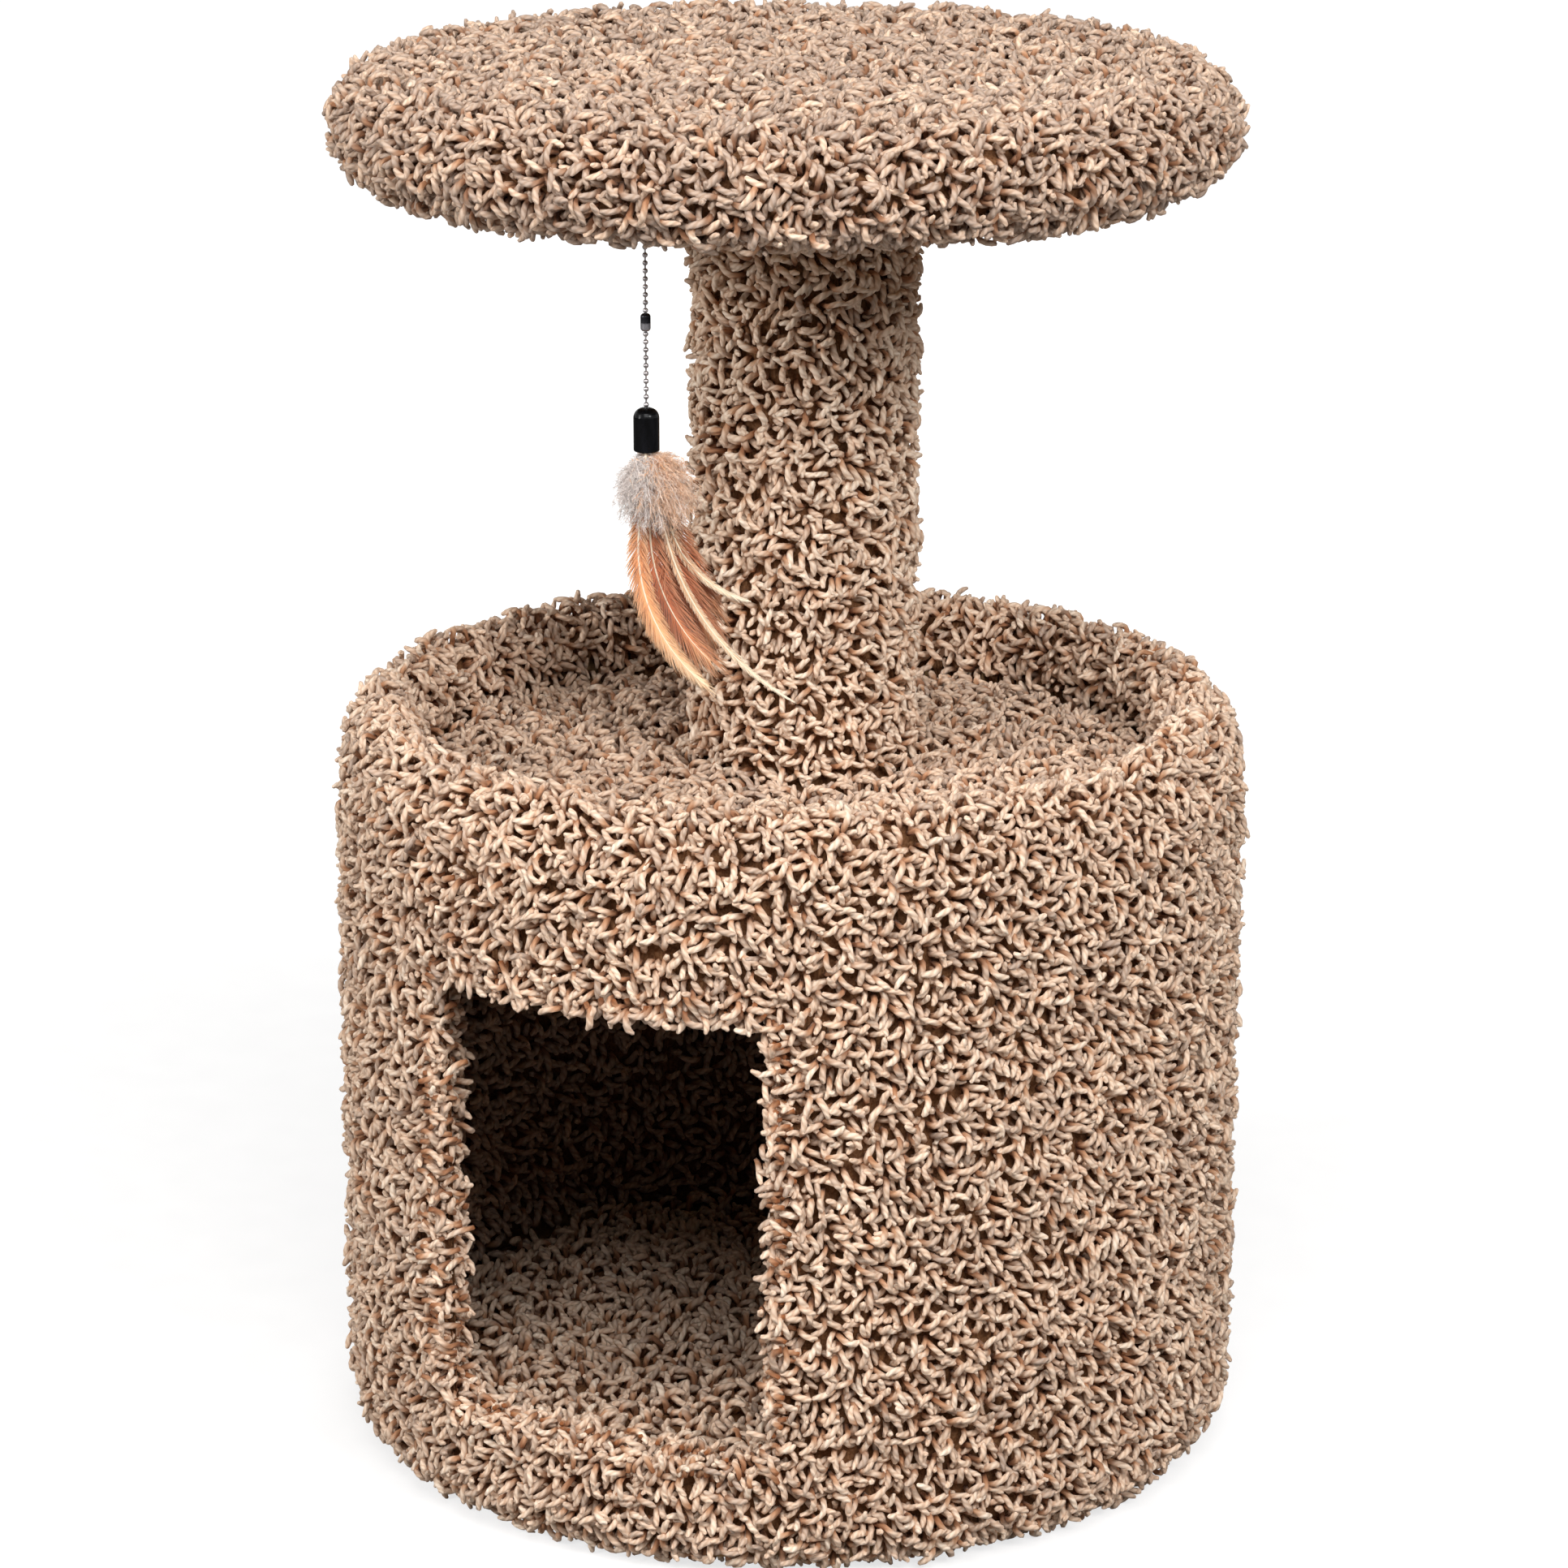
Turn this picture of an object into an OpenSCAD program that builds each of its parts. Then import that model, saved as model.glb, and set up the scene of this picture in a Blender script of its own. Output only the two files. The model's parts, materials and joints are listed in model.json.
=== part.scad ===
// Carpeted cat condo: a barrel den with a sunken bed on its roof, a post, a round perch and a feather toy.
// Millimetres, +Z up. The origin is on the floor, under the middle of the barrel; the doorway faces -Y.

/* [Carpet] */
// Thickness of the shag carpet, backing and pile
carpet_t = 15; // [10:0.5:20]
// Thickness of the carpet where it is crushed under the base
hem_t = 6; // [4:0.5:9]
// Glue line between a carpet and what it covers
glue_gap = 0.2; // [0.1:0.05:0.4]

/* [Barrel] */
// Outer diameter of the fibre tube
shell_d = 396; // [340:1:460]
// Wall of the fibre tube
shell_wall = 8; // [5:0.5:12]
// Height of the fibre tube
shell_h = 341; // [320:1:420]
// Thickness of the base board
base_t = 19; // [16:1:25]
// Thickness of the deck board
deck_t = 16; // [14:1:20]
// Depth of the bed, from the top of the tube to the deck board
bed_depth = 35; // [30:1:52]
// Height of the rounding at the outside of the rim
rim_round_h = 42; // [20:1:45]
// Height of the rounding at the inside of the rim
rim_inner_round_h = 24; // [12:1:30]
// Radius of the rounding at the foot of the barrel
foot_round_r = 28; // [20:1:34]
// Width of the carpet that is turned under the base
base_hem_w = 46; // [35:1:70]

/* [Doorway] */
// Clear width between the carpeted sides
door_w = 164; // [130:1:175]
// Clear height between the carpeted sill and lintel
door_h = 207; // [170:1:210]
// Height of the carpeted sill above the carpet of the floor
sill_h = 19; // [16:1:24]
// Radius of the corners
door_corner_r = 12; // [6:1:25]
// How far the lining stays back from the doorway's carpet
lining_setback = 20; // [10:1:30]

/* [Post] */
// Outer diameter of the paperboard tube
post_d = 75; // [65:1:90]
// Wall of the paperboard tube
post_wall = 5; // [4:0.5:7]
// Height of the tube, from the deck board to the perch board
post_h = 312; // [270:1:380]
// How far the post stands behind the middle of the barrel
post_setback = 15; // [0:1:25]
// Thickness of the plugs in the ends of the tube
plug_t = 30; // [26:1:36]

/* [Perch] */
// Diameter of the perch board
perch_d = 385; // [360:1:440]
// Thickness of the perch board
perch_t = 21; // [18:1:26]
// How far the perch stands in front of the middle of the barrel
perch_forward = 5; // [0:1:12]
// Width of the carpet that is turned under the perch
perch_hem_w = 42.5; // [30:0.5:50]

/* [Fixings] */
// Gap between a screw and its hole
screw_gap = 0.1; // [0.05:0.05:0.2]
// Screws through the tube into each disc
rim_screws = 8; // [6:1:12]
// Length of those screws
rim_screw_len = 32; // [26:1:40]
// Radius of those screws
rim_screw_r = 1.75; // [1.5:0.25:2.25]
// Screws at each end of the post
post_screws = 4; // [3:1:6]
// Length of the post's screws past the board
post_screw_bite = 24; // [18:1:25]
// Radius of the post's screws
post_screw_r = 2.5; // [2:0.25:3]
// Length of the screws through the post's tube
plug_screw_len = 18; // [14:1:20]
// Radius of the screws through the post's tube
plug_screw_r = 1.25; // [1:0.25:1.5]
// Staples in each turned-under edge
staples = 16; // [8:1:24]
// Width of a staple's crown
staple_w = 11; // [8:0.5:14]
// Length of a staple's legs
staple_leg = 12; // [10:0.5:14]
// Thickness of a staple's wire
staple_wire = 1.2; // [1:0.1:1.5]

/* [Chain] */
// Distance from the turned-under carpet of the perch to the screw eye
eye_inset = 11; // [9:1:20]
// Radius of the screw eye's wire
eye_wire_r = 0.9; // [0.8:0.05:1.1]
// Radius of the middle of the screw eye's ring
eye_ring_r = 3.5; // [3.3:0.1:4.5]
// Depth of the screw eye in the board
eye_bite = 11; // [8:0.5:14]
// Radius of the coupling's wire
loop_wire_r = 0.55; // [0.5:0.05:0.65]
// Radius of the middle of the coupling's loop
loop_ring_r = 2.6; // [2.5:0.1:3.2]
// Diameter of a bead
bead_d = 2.4; // [2.2:0.1:3.6]
// Distance from bead to bead
bead_pitch = 3.5; // [3.3:0.1:5.4]
// Radius of the wire between the beads
link_r = 0.4; // [0.3:0.05:0.5]
// Beads above the connector, with the one inside it
upper_beads = 13; // [6:1:14]
// Beads below the connector, with the one inside it
lower_beads = 12; // [6:1:14]
// Gap round a bead that is held in a cup
bead_gap = 0.35; // [0.3:0.05:0.45]
// Wall of the coupling, the connector and the cap
cup_wall = 0.7; // [0.5:0.05:0.9]

/* [Toy] */
// Outer diameter of the cap
cap_d = 11.5; // [10.5:0.5:14]
// Height of the cap
cap_h = 19.5; // [17:0.5:24]
// Depth of the glue that holds the quills
quill_glue_h = 11; // [8:0.5:12]
// Width of the down round the quills
fluff_d = 32; // [24:1:40]
// Height of the down round the quills
fluff_h = 46; // [36:1:52]
// Length of the straight part of the quills
quill_len = 38; // [34:1:52]
// Length of the longest feather past its straight quill
feather_len = 88; // [70:1:112]
// Widest part of a feather
feather_w = 16; // [7:0.5:18]
// Thickness of a feather
feather_t = 0.7; // [0.5:0.05:0.75]
// Radius of a quill
quill_r = 0.55; // [0.4:0.05:0.6]
// Direction in which the feathers droop, in degrees from +X towards +Y
droop_az = 26; // [0:1:360]
// Turn of the most curved feather from its quill to its tip, in degrees
droop_turn = 61; // [40:1:85]
// Lean of the most slanted quill, in degrees from the vertical
quill_lean = 18; // [6:1:20]

/* [Hidden] */
$fn = 72;
overrun = 5;
rest_gap = 0.3;
arc_steps = 10;

// Feathers: one layer each, as shares of the longest feather, the largest turn, the widest vane and the lean
feather_length_shares = [0.82, 1, 0.75, 0.58, 0.64, 0.85, 0.48];
feather_turn_shares = [0.85, 0.80, 0.66, 1, 0.36, 0.74, 0.13];
feather_width_shares = [0.62, 0.40, 1, 0.36, 1, 0.42, 0.94];
feather_lean_shares = [0.11, 0.67, 0.39, 0.89, 0.67, 0.50, 1];

// Finishes
carpet_colour = "#b8977b";
board_colour = "#cfa970";
tube_colour = "#9a7650";
steel_colour = "#b9bcc0";
cap_colour = "#141414";
fluff_colour = "#a8a3a6";
feather_colours = ["#b5622f", "#e0b48c", "#a85427", "#ead2b2", "#c26b34", "#dcae84", "#b05c2c"];

// Radii of the barrel
shell_r = shell_d / 2;
shell_in_r = shell_r - shell_wall;
barrel_r = shell_r + carpet_t;
den_r = shell_in_r - carpet_t;
disc_r = shell_in_r - glue_gap;
rim_crown_r = (shell_r + shell_in_r) / 2 - glue_gap;
base_hem_r = shell_r - base_hem_w;

// Levels, from the floor up
base_top = hem_t + base_t;
floor_top = base_top + carpet_t;
sill_z = floor_top + sill_h;
shell_top = hem_t + shell_h;
deck_top = shell_top - bed_depth;
deck_bottom = deck_top - deck_t;
rim_top = shell_top + carpet_t;
perch_bottom = deck_top + post_h;
perch_top = perch_bottom + perch_t;

// Post and perch
post_r = post_d / 2;
post_in_r = post_r - post_wall;
plug_r = post_in_r - glue_gap;
post_carpet_r = post_r + carpet_t;
perch_r = perch_d / 2;
perch_edge_r = perch_t / 2 + carpet_t;
perch_hem_r = perch_r - perch_hem_w;

// Screws: the head's radius and height as shares of the shank's radius, and the point's length
screw_head_share = 2;
screw_head_h_share = 1.2;
screw_point_share = 2.5;
post_screw_ring_share = 0.55;
washer_r_share = 2.6;
washer_t = 1.2;

// Toy: the eye, the coupling and the beads hang in one line
toy_y = -perch_forward - perch_hem_r + eye_inset;
bead_r = bead_d / 2;
eye_neck = 1.6;
eye_ring_z = perch_bottom - eye_neck - eye_ring_r - eye_wire_r;
eye_low_z = eye_ring_z - eye_ring_r;
loop_top_z = eye_low_z + eye_wire_r + rest_gap + loop_wire_r;
loop_z = loop_top_z - loop_ring_r;
cup_top_z = loop_z - loop_ring_r;
cup_in_r = bead_r + bead_gap;
cup_r = cup_in_r + cup_wall;
bead_slot_share = 0.6;
bead_slot_w = bead_d * bead_slot_share;
first_bead_z = cup_top_z - cup_wall - cup_in_r;
connector_top_z = first_bead_z - (upper_beads - 1) * bead_pitch + cup_r;
connector_h = bead_pitch + 2 * cup_r;
lower_bead_z = first_bead_z - upper_beads * bead_pitch;
last_bead_z = lower_bead_z - (lower_beads - 1) * bead_pitch;
cap_r = cap_d / 2;
cap_wall = 2 * cup_wall;
cap_top_z = last_bead_z + bead_r + bead_gap + cup_wall;
cap_bottom_z = cap_top_z - cap_h;
cap_dome_share = 0.8;
plug_bottom_z = cap_bottom_z + cap_wall;
quill_ring_r = cap_r - cap_wall - quill_r - bead_gap;
fluff_bore_r = cap_r - cap_wall;
fluff_top_z = cap_bottom_z - rest_gap;

// Steps of a feather's sweep, and how it spreads and thins towards its tip
feather_steps = 10;
quill_steps = 3;
fan_share = 1.2;
tip_share = 0.4;

// Points of an arc of an ellipse
function arc(centre, rx, ry, from, to) =
    [for (i = [0:arc_steps]) let (a = from + (to - from) * i / arc_steps)
        centre + [rx * cos(a), ry * sin(a)]];

// Points of a rectangle with round corners, centred in x and standing on z = bottom
function round_rect(w, bottom, top, r) = concat(
    arc([w / 2 - r, bottom + r], r, r, -90, 0),
    arc([w / 2 - r, top - r], r, r, 0, 90),
    arc([-w / 2 + r, top - r], r, r, 90, 180),
    arc([-w / 2 + r, bottom + r], r, r, 180, 270)
);

// Angle on the foot's rounding at a radius, below the horizontal
function foot_angle(r) = -acos((r - barrel_r + foot_round_r) / foot_round_r);

// Ring between two radii and two levels
module ring(r_out, r_in, bottom, top) {
    difference() {
        translate([0, 0, bottom]) cylinder(r = r_out, h = top - bottom);
        translate([0, 0, bottom - overrun]) cylinder(r = r_in, h = top - bottom + 2 * overrun);
    }
}

// Disc between two levels
module disc(r, bottom, top) {
    translate([0, 0, bottom]) cylinder(r = r, h = top - bottom);
}

// Doorway as a bar that runs out through the front of the barrel, wider all round by grow
module door_bar(grow) {
    rotate([90, 0, 0])
        linear_extrude(height = barrel_r + overrun)
            polygon(round_rect(
                door_w + 2 * grow, sill_z - grow, sill_z + door_h + grow, door_corner_r + grow
            ));
}

// Countersunk screw whose head lies flush at the origin and whose point is at -Z, wider all round by grow
module screw(length, r, grow = 0) {
    head_r = r * screw_head_share;
    head_h = r * screw_head_h_share;
    rotate_extrude()
        polygon([
            [0, -length - grow], [r + grow, -length + r * screw_point_share - grow], [r + grow, -head_h],
            [head_r + grow, 0], [head_r + grow, grow], [0, grow]
        ]);
}

// Row of screws that point at the axis from a radius, at one level
module screw_row(count, radius, level, length, r, grow = 0) {
    for (i = [0:count - 1])
        rotate([0, 0, (i + 1 / 2) * 360 / count])
            translate([radius, 0, level])
                rotate([0, 90, 0])
                    screw(length, r, grow);
}

// Places of the screws at the post's ends
module at_post_screws() {
    for (i = [0:post_screws - 1])
        translate([0, post_setback, 0])
            rotate([0, 0, (i + 1 / 2) * 360 / post_screws])
                translate([plug_r * post_screw_ring_share, 0, 0])
                    children();
}

// Places on the post's axis
module at_post() {
    translate([0, post_setback, 0]) children();
}

// Places on the perch's axis
module at_perch() {
    translate([0, -perch_forward, 0]) children();
}

// Places on the toy's axis
module at_toy() {
    translate([0, toy_y, 0]) children();
}

// Staples in a circle: the crown at one level, the legs up into the board
module staple_row(radius, level) {
    for (i = [0:staples - 1])
        rotate([0, 0, (i + 1 / 2) * 360 / staples])
            translate([radius, 0, level]) {
                translate([-staple_wire / 2, -staple_w / 2, 0]) cube([staple_wire, staple_w, staple_wire]);
                for (side = [-1, 1])
                    translate([-staple_wire / 2, side * (staple_w - staple_wire) / 2 - staple_wire / 2, 0])
                        cube([staple_wire, staple_wire, staple_leg]);
            }
}

// Barrel
module base_board() {
    color(board_colour)
        difference() {
            disc(disc_r, hem_t, base_top);
            screw_row(rim_screws, shell_r, hem_t + base_t / 2, rim_screw_len, rim_screw_r, screw_gap);
        }
}

module base_hem() {
    foot = [barrel_r - foot_round_r, foot_round_r];
    color(carpet_colour)
        rotate_extrude()
            polygon(concat(
                [[base_hem_r, hem_t], [base_hem_r, 0]],
                arc(foot, foot_round_r, foot_round_r, -90, foot_angle(shell_r)),
                [[shell_r, hem_t]]
            ));
}

module hem_staples() {
    color(steel_colour) staple_row(base_hem_r + staple_w, hem_t / 4);
}

module barrel_shell() {
    color(tube_colour)
        difference() {
            ring(shell_r, shell_in_r, hem_t, shell_top);
            door_bar(carpet_t + glue_gap);
            screw_row(rim_screws, shell_r, hem_t + base_t / 2, rim_screw_len, rim_screw_r, screw_gap);
            screw_row(rim_screws, shell_r, deck_top - deck_t / 2, rim_screw_len, rim_screw_r, screw_gap);
        }
}

module base_screws() {
    color(steel_colour) screw_row(rim_screws, shell_r, hem_t + base_t / 2, rim_screw_len, rim_screw_r);
}

module deck_board() {
    color(board_colour)
        difference() {
            disc(disc_r, deck_bottom, deck_top);
            screw_row(rim_screws, shell_r, deck_top - deck_t / 2, rim_screw_len, rim_screw_r, screw_gap);
            at_post_screws()
                translate([0, 0, deck_bottom - overrun])
                    cylinder(r = post_screw_r + screw_gap, h = deck_t + 2 * overrun);
        }
}

module deck_screws() {
    color(steel_colour) screw_row(rim_screws, shell_r, deck_top - deck_t / 2, rim_screw_len, rim_screw_r);
}

module barrel_carpet() {
    in_r = shell_r + glue_gap;
    rim_in_r = shell_in_r - glue_gap;
    foot = [barrel_r - foot_round_r, foot_round_r];
    color(carpet_colour)
        difference() {
            rotate_extrude()
                polygon(concat(
                    arc(foot, foot_round_r, foot_round_r, foot_angle(in_r), 0),
                    arc([rim_crown_r, rim_top - rim_round_h], barrel_r - rim_crown_r, rim_round_h, 0, 90),
                    arc(
                        [rim_crown_r, rim_top - rim_inner_round_h], rim_crown_r - den_r, rim_inner_round_h,
                        90, 180
                    ),
                    [
                        [den_r, deck_top + glue_gap], [rim_in_r, deck_top + glue_gap],
                        [rim_in_r, shell_top + glue_gap], [in_r, shell_top + glue_gap]
                    ]
                ));
            door_bar(carpet_t + glue_gap);
        }
}

module doorway_carpet() {
    color(carpet_colour)
        difference() {
            intersection() {
                ring(barrel_r, shell_in_r, 0, deck_bottom);
                door_bar(carpet_t);
            }
            door_bar(0);
        }
}

module floor_carpet() {
    color(carpet_colour) disc(disc_r, base_top, floor_top);
}

module lining_carpet() {
    open_w = door_w + 2 * (carpet_t + lining_setback);
    color(carpet_colour)
        difference() {
            ring(shell_in_r - glue_gap, den_r, floor_top, deck_bottom);
            translate([-open_w / 2, -barrel_r, floor_top - overrun])
                cube([open_w, barrel_r, deck_bottom - floor_top + 2 * overrun]);
        }
}

module deck_carpet() {
    color(carpet_colour)
        difference() {
            disc(den_r - glue_gap, deck_top, deck_top + carpet_t);
            at_post() disc(post_carpet_r + glue_gap, deck_top - overrun, deck_top + carpet_t + overrun);
        }
}

// Post
module post_core() {
    color(tube_colour)
        at_post()
            difference() {
                ring(post_r, post_in_r, deck_top, perch_bottom);
                plug_screw_rows(screw_gap);
            }
}

module plug_screw_rows(grow = 0) {
    for (level = [deck_top + plug_t / 2, perch_bottom - plug_t / 2])
        rotate([0, 0, 360 / post_screws / 2])
            screw_row(post_screws, post_r, level, plug_screw_len, plug_screw_r, grow);
}

module post_foot_plug() {
    color(board_colour)
        difference() {
            at_post()
                difference() {
                    disc(plug_r, deck_top, deck_top + plug_t);
                    plug_screw_rows(screw_gap);
                }
            at_post_screws() foot_screw(screw_gap);
        }
}

module post_head_plug() {
    color(board_colour)
        difference() {
            at_post()
                difference() {
                    disc(plug_r, perch_bottom - plug_t, perch_bottom);
                    plug_screw_rows(screw_gap);
                }
            at_post_screws() head_screw(screw_gap);
        }
}

module plug_screws() {
    color(steel_colour) at_post() plug_screw_rows();
}

// Pan-headed screw that stands up through the deck board, on its washer
module foot_screw(grow = 0) {
    head_r = post_screw_r * screw_head_share;
    head_h = post_screw_r * screw_head_h_share;
    top = deck_top + post_screw_bite + grow;
    rotate_extrude()
        polygon([
            [0, deck_bottom - washer_t - head_h], [head_r / 2, deck_bottom - washer_t - head_h],
            [head_r, deck_bottom - washer_t - head_h / 2], [head_r, deck_bottom - washer_t],
            [post_screw_r + grow, deck_bottom - washer_t],
            [post_screw_r + grow, top - post_screw_r * screw_point_share], [0, top]
        ]);
}

// Countersunk screw down through the perch board
module head_screw(grow = 0) {
    translate([0, 0, perch_top]) screw(perch_t + post_screw_bite, post_screw_r, grow);
}

module foot_screws() {
    color(steel_colour) at_post_screws() foot_screw();
}

module foot_washers() {
    color(steel_colour)
        at_post_screws()
            ring(
                post_screw_r * washer_r_share, post_screw_r + screw_gap, deck_bottom - washer_t, deck_bottom
            );
}

module post_carpet() {
    color(carpet_colour) at_post() ring(post_carpet_r, post_r + glue_gap, deck_top, perch_bottom);
}

// Perch
module perch_board() {
    color(board_colour)
        difference() {
            at_perch() disc(perch_r, perch_bottom, perch_top);
            at_post_screws() head_screw(screw_gap);
            at_toy()
                disc(eye_wire_r + screw_gap, perch_bottom - overrun, perch_bottom + eye_bite + screw_gap);
        }
}

module head_screws() {
    color(steel_colour) at_post_screws() head_screw();
}

module perch_carpet() {
    edge = [perch_r + carpet_t - perch_edge_r, perch_bottom + perch_t / 2];
    color(carpet_colour)
        at_perch()
            rotate_extrude()
                polygon(concat(
                    [[perch_hem_r, perch_bottom - glue_gap], [perch_hem_r, perch_bottom - carpet_t]],
                    arc(edge, perch_edge_r, perch_edge_r, -90, 90),
                    [
                        [0, perch_top + carpet_t], [0, perch_top + glue_gap],
                        [perch_r + glue_gap, perch_top + glue_gap],
                        [perch_r + glue_gap, perch_bottom - glue_gap]
                    ]
                ));
}

module perch_staples() {
    color(steel_colour) at_perch() staple_row(perch_hem_r + staple_w / 2, perch_bottom - carpet_t / 3);
}

// Toy
module toy_eye() {
    color(steel_colour)
        at_toy() {
            disc(eye_wire_r, eye_ring_z + eye_ring_r, perch_bottom + eye_bite);
            translate([0, 0, eye_ring_z])
                rotate([90, 0, 0])
                    rotate_extrude()
                        translate([eye_ring_r, 0]) circle(r = eye_wire_r);
        }
}

module chain_coupling() {
    color(steel_colour)
        at_toy()
            difference() {
                union() {
                    translate([0, 0, loop_z])
                        rotate([0, 90, 0])
                            rotate_extrude()
                                translate([loop_ring_r, 0]) circle(r = loop_wire_r);
                    translate([0, 0, first_bead_z]) sphere(r = cup_r);
                }
                translate([0, 0, first_bead_z]) sphere(r = cup_in_r);
                translate([-cup_r, -bead_slot_w / 2, first_bead_z - cup_r - overrun])
                    cube([2 * cup_r, bead_slot_w, cup_r + bead_slot_w / 2 + overrun]);
            }
}

// Beads on their wire, from the highest down
module bead_chain(top_z, count) {
    at_toy() {
        for (i = [0:count - 1])
            translate([0, 0, top_z - i * bead_pitch]) sphere(r = bead_r);
        disc(link_r, top_z - (count - 1) * bead_pitch, top_z);
    }
}

module bead_chain_upper() {
    color(steel_colour) bead_chain(first_bead_z, upper_beads);
}

module bead_chain_lower() {
    color(steel_colour) bead_chain(lower_bead_z, lower_beads);
}

// Barrel with rounded shoulders that joins two ends of the chain
module connector_body() {
    shoulder = cup_r - bead_slot_w / 2;
    rotate_extrude()
        polygon(concat(
            [[0, connector_top_z - connector_h]],
            arc([cup_r - shoulder, connector_top_z - connector_h + shoulder], shoulder, shoulder, -90, 0),
            arc([cup_r - shoulder, connector_top_z - shoulder], shoulder, shoulder, 0, 90),
            [[0, connector_top_z]]
        ));
}

module chain_connector() {
    color(steel_colour)
        at_toy()
            difference() {
                connector_body();
                disc(cup_in_r, connector_top_z - connector_h + cup_wall, connector_top_z - cup_wall);
                disc(bead_slot_w / 2, connector_top_z - connector_h - overrun, connector_top_z + overrun);
            }
}

module toy_cap() {
    dome = cap_r * cap_dome_share;
    lip = cap_wall / 2;
    color(cap_colour)
        at_toy()
            rotate_extrude()
                polygon(concat(
                    [[cap_r - cap_wall, cap_bottom_z]],
                    arc([cap_r - lip, cap_bottom_z + lip], lip, lip, -90, 0),
                    arc([cap_r - dome, cap_top_z - dome], dome, dome, 0, 90),
                    [[bead_slot_w / 2, cap_top_z], [bead_slot_w / 2, cap_top_z - cup_wall]],
                    arc([cap_r - dome, cap_top_z - dome], dome - cap_wall, dome - cup_wall, 90, 0)
                ));
}

module quill_plug() {
    color(feather_colours[1])
        at_toy() disc(cap_r - cap_wall - glue_gap, plug_bottom_z, plug_bottom_z + quill_glue_h);
}

module toy_fluff() {
    color(fluff_colour)
        at_toy()
            difference() {
                rotate_extrude()
                    polygon(arc([0, fluff_top_z - fluff_h / 2], fluff_d / 2, fluff_h / 2, -90, 90));
                translate([0, 0, fluff_top_z - fluff_h - overrun])
                    cylinder(
                        r1 = fluff_bore_r + (fluff_h + overrun) * tan(quill_lean),
                        r2 = fluff_bore_r - overrun * tan(quill_lean),
                        h = fluff_h + 2 * overrun
                    );
            }
}

// Swept solid from rings of as many points each, first ring to last
module swept(rings) {
    sides = len(rings[0]);
    last = len(rings) - 1;
    polyhedron(
        points = [for (r = rings) each r],
        faces = concat(
            [[for (j = [0:sides - 1]) j]],
            [for (i = [0:last - 1]) for (j = [0:sides - 1]) let (k = (j + 1) % sides)
                each [
                    [i * sides + j, (i + 1) * sides + j, (i + 1) * sides + k],
                    [i * sides + j, (i + 1) * sides + k, i * sides + k]
                ]],
            [[for (j = [sides - 1:-1:0]) last * sides + j]]
        )
    );
}

// Ring of a feather across its middle line, at an angle from the vertical
function feather_ring(reach, drop, layer, turn, half_w, half_t) =
    let (across = [cos(turn), sin(turn)])
    [for (corner = [[1, 0], [0, 1], [-1, 0], [0, -1]])
        [
            reach + corner[0] * half_w * across[0],
            layer + corner[1] * half_t,
            drop + corner[0] * half_w * across[1]
        ]];

// Feather in its own layer: a straight quill that leans, then a vane that bends over in an arc
module feather(i) {
    count = len(feather_length_shares);
    arc_len = feather_len * feather_length_shares[i];
    turn = droop_turn * feather_turn_shares[i];
    lean = quill_lean * feather_lean_shares[i];
    bend_r = arc_len / (turn * PI / 180);
    layer = quill_ring_r * (2 * i / (count - 1) - 1);
    half_w = feather_w * feather_width_shares[i] / 2;
    quill = [for (s = [0:quill_steps - 1]) let (t = quill_len * s / quill_steps)
        feather_ring(t * sin(lean), plug_bottom_z - t * cos(lean), layer, lean, quill_r, quill_r / 2)];
    vane = [for (s = [0:feather_steps]) let (u = s / feather_steps, a = lean + turn * u)
        feather_ring(
            quill_len * sin(lean) + bend_r * (cos(lean) - cos(a)),
            plug_bottom_z - quill_len * cos(lean) - bend_r * (sin(a) - sin(lean)),
            layer * (1 + fan_share * u * u),
            a,
            max(quill_r * (1 - u + u * tip_share), half_w * sin(180 * u)),
            feather_t / 2 * (1 - u + u * tip_share)
        )];
    color(feather_colours[i])
        at_toy()
            rotate([0, 0, droop_az])
                swept(concat(quill, vane));
}

base_board();
base_hem();
hem_staples();
barrel_shell();
base_screws();
deck_board();
deck_screws();
barrel_carpet();
doorway_carpet();
floor_carpet();
lining_carpet();
deck_carpet();
post_core();
post_foot_plug();
post_head_plug();
plug_screws();
foot_screws();
foot_washers();
post_carpet();
perch_board();
head_screws();
perch_carpet();
perch_staples();
toy_eye();
chain_coupling();
bead_chain_upper();
chain_connector();
bead_chain_lower();
toy_cap();
quill_plug();
toy_fluff();
for (i = [0:len(feather_length_shares) - 1])
    feather(i);
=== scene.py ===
"""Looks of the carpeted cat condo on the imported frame: shag pile, boards, fixings and feather toy."""
import json
import logging
import math
from dataclasses import dataclass, field
from enum import Enum
from typing import Protocol

import bpy
import numpy as np
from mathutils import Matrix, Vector
from mathutils.bvhtree import BVHTree
from mathutils.kdtree import KDTree

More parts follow.
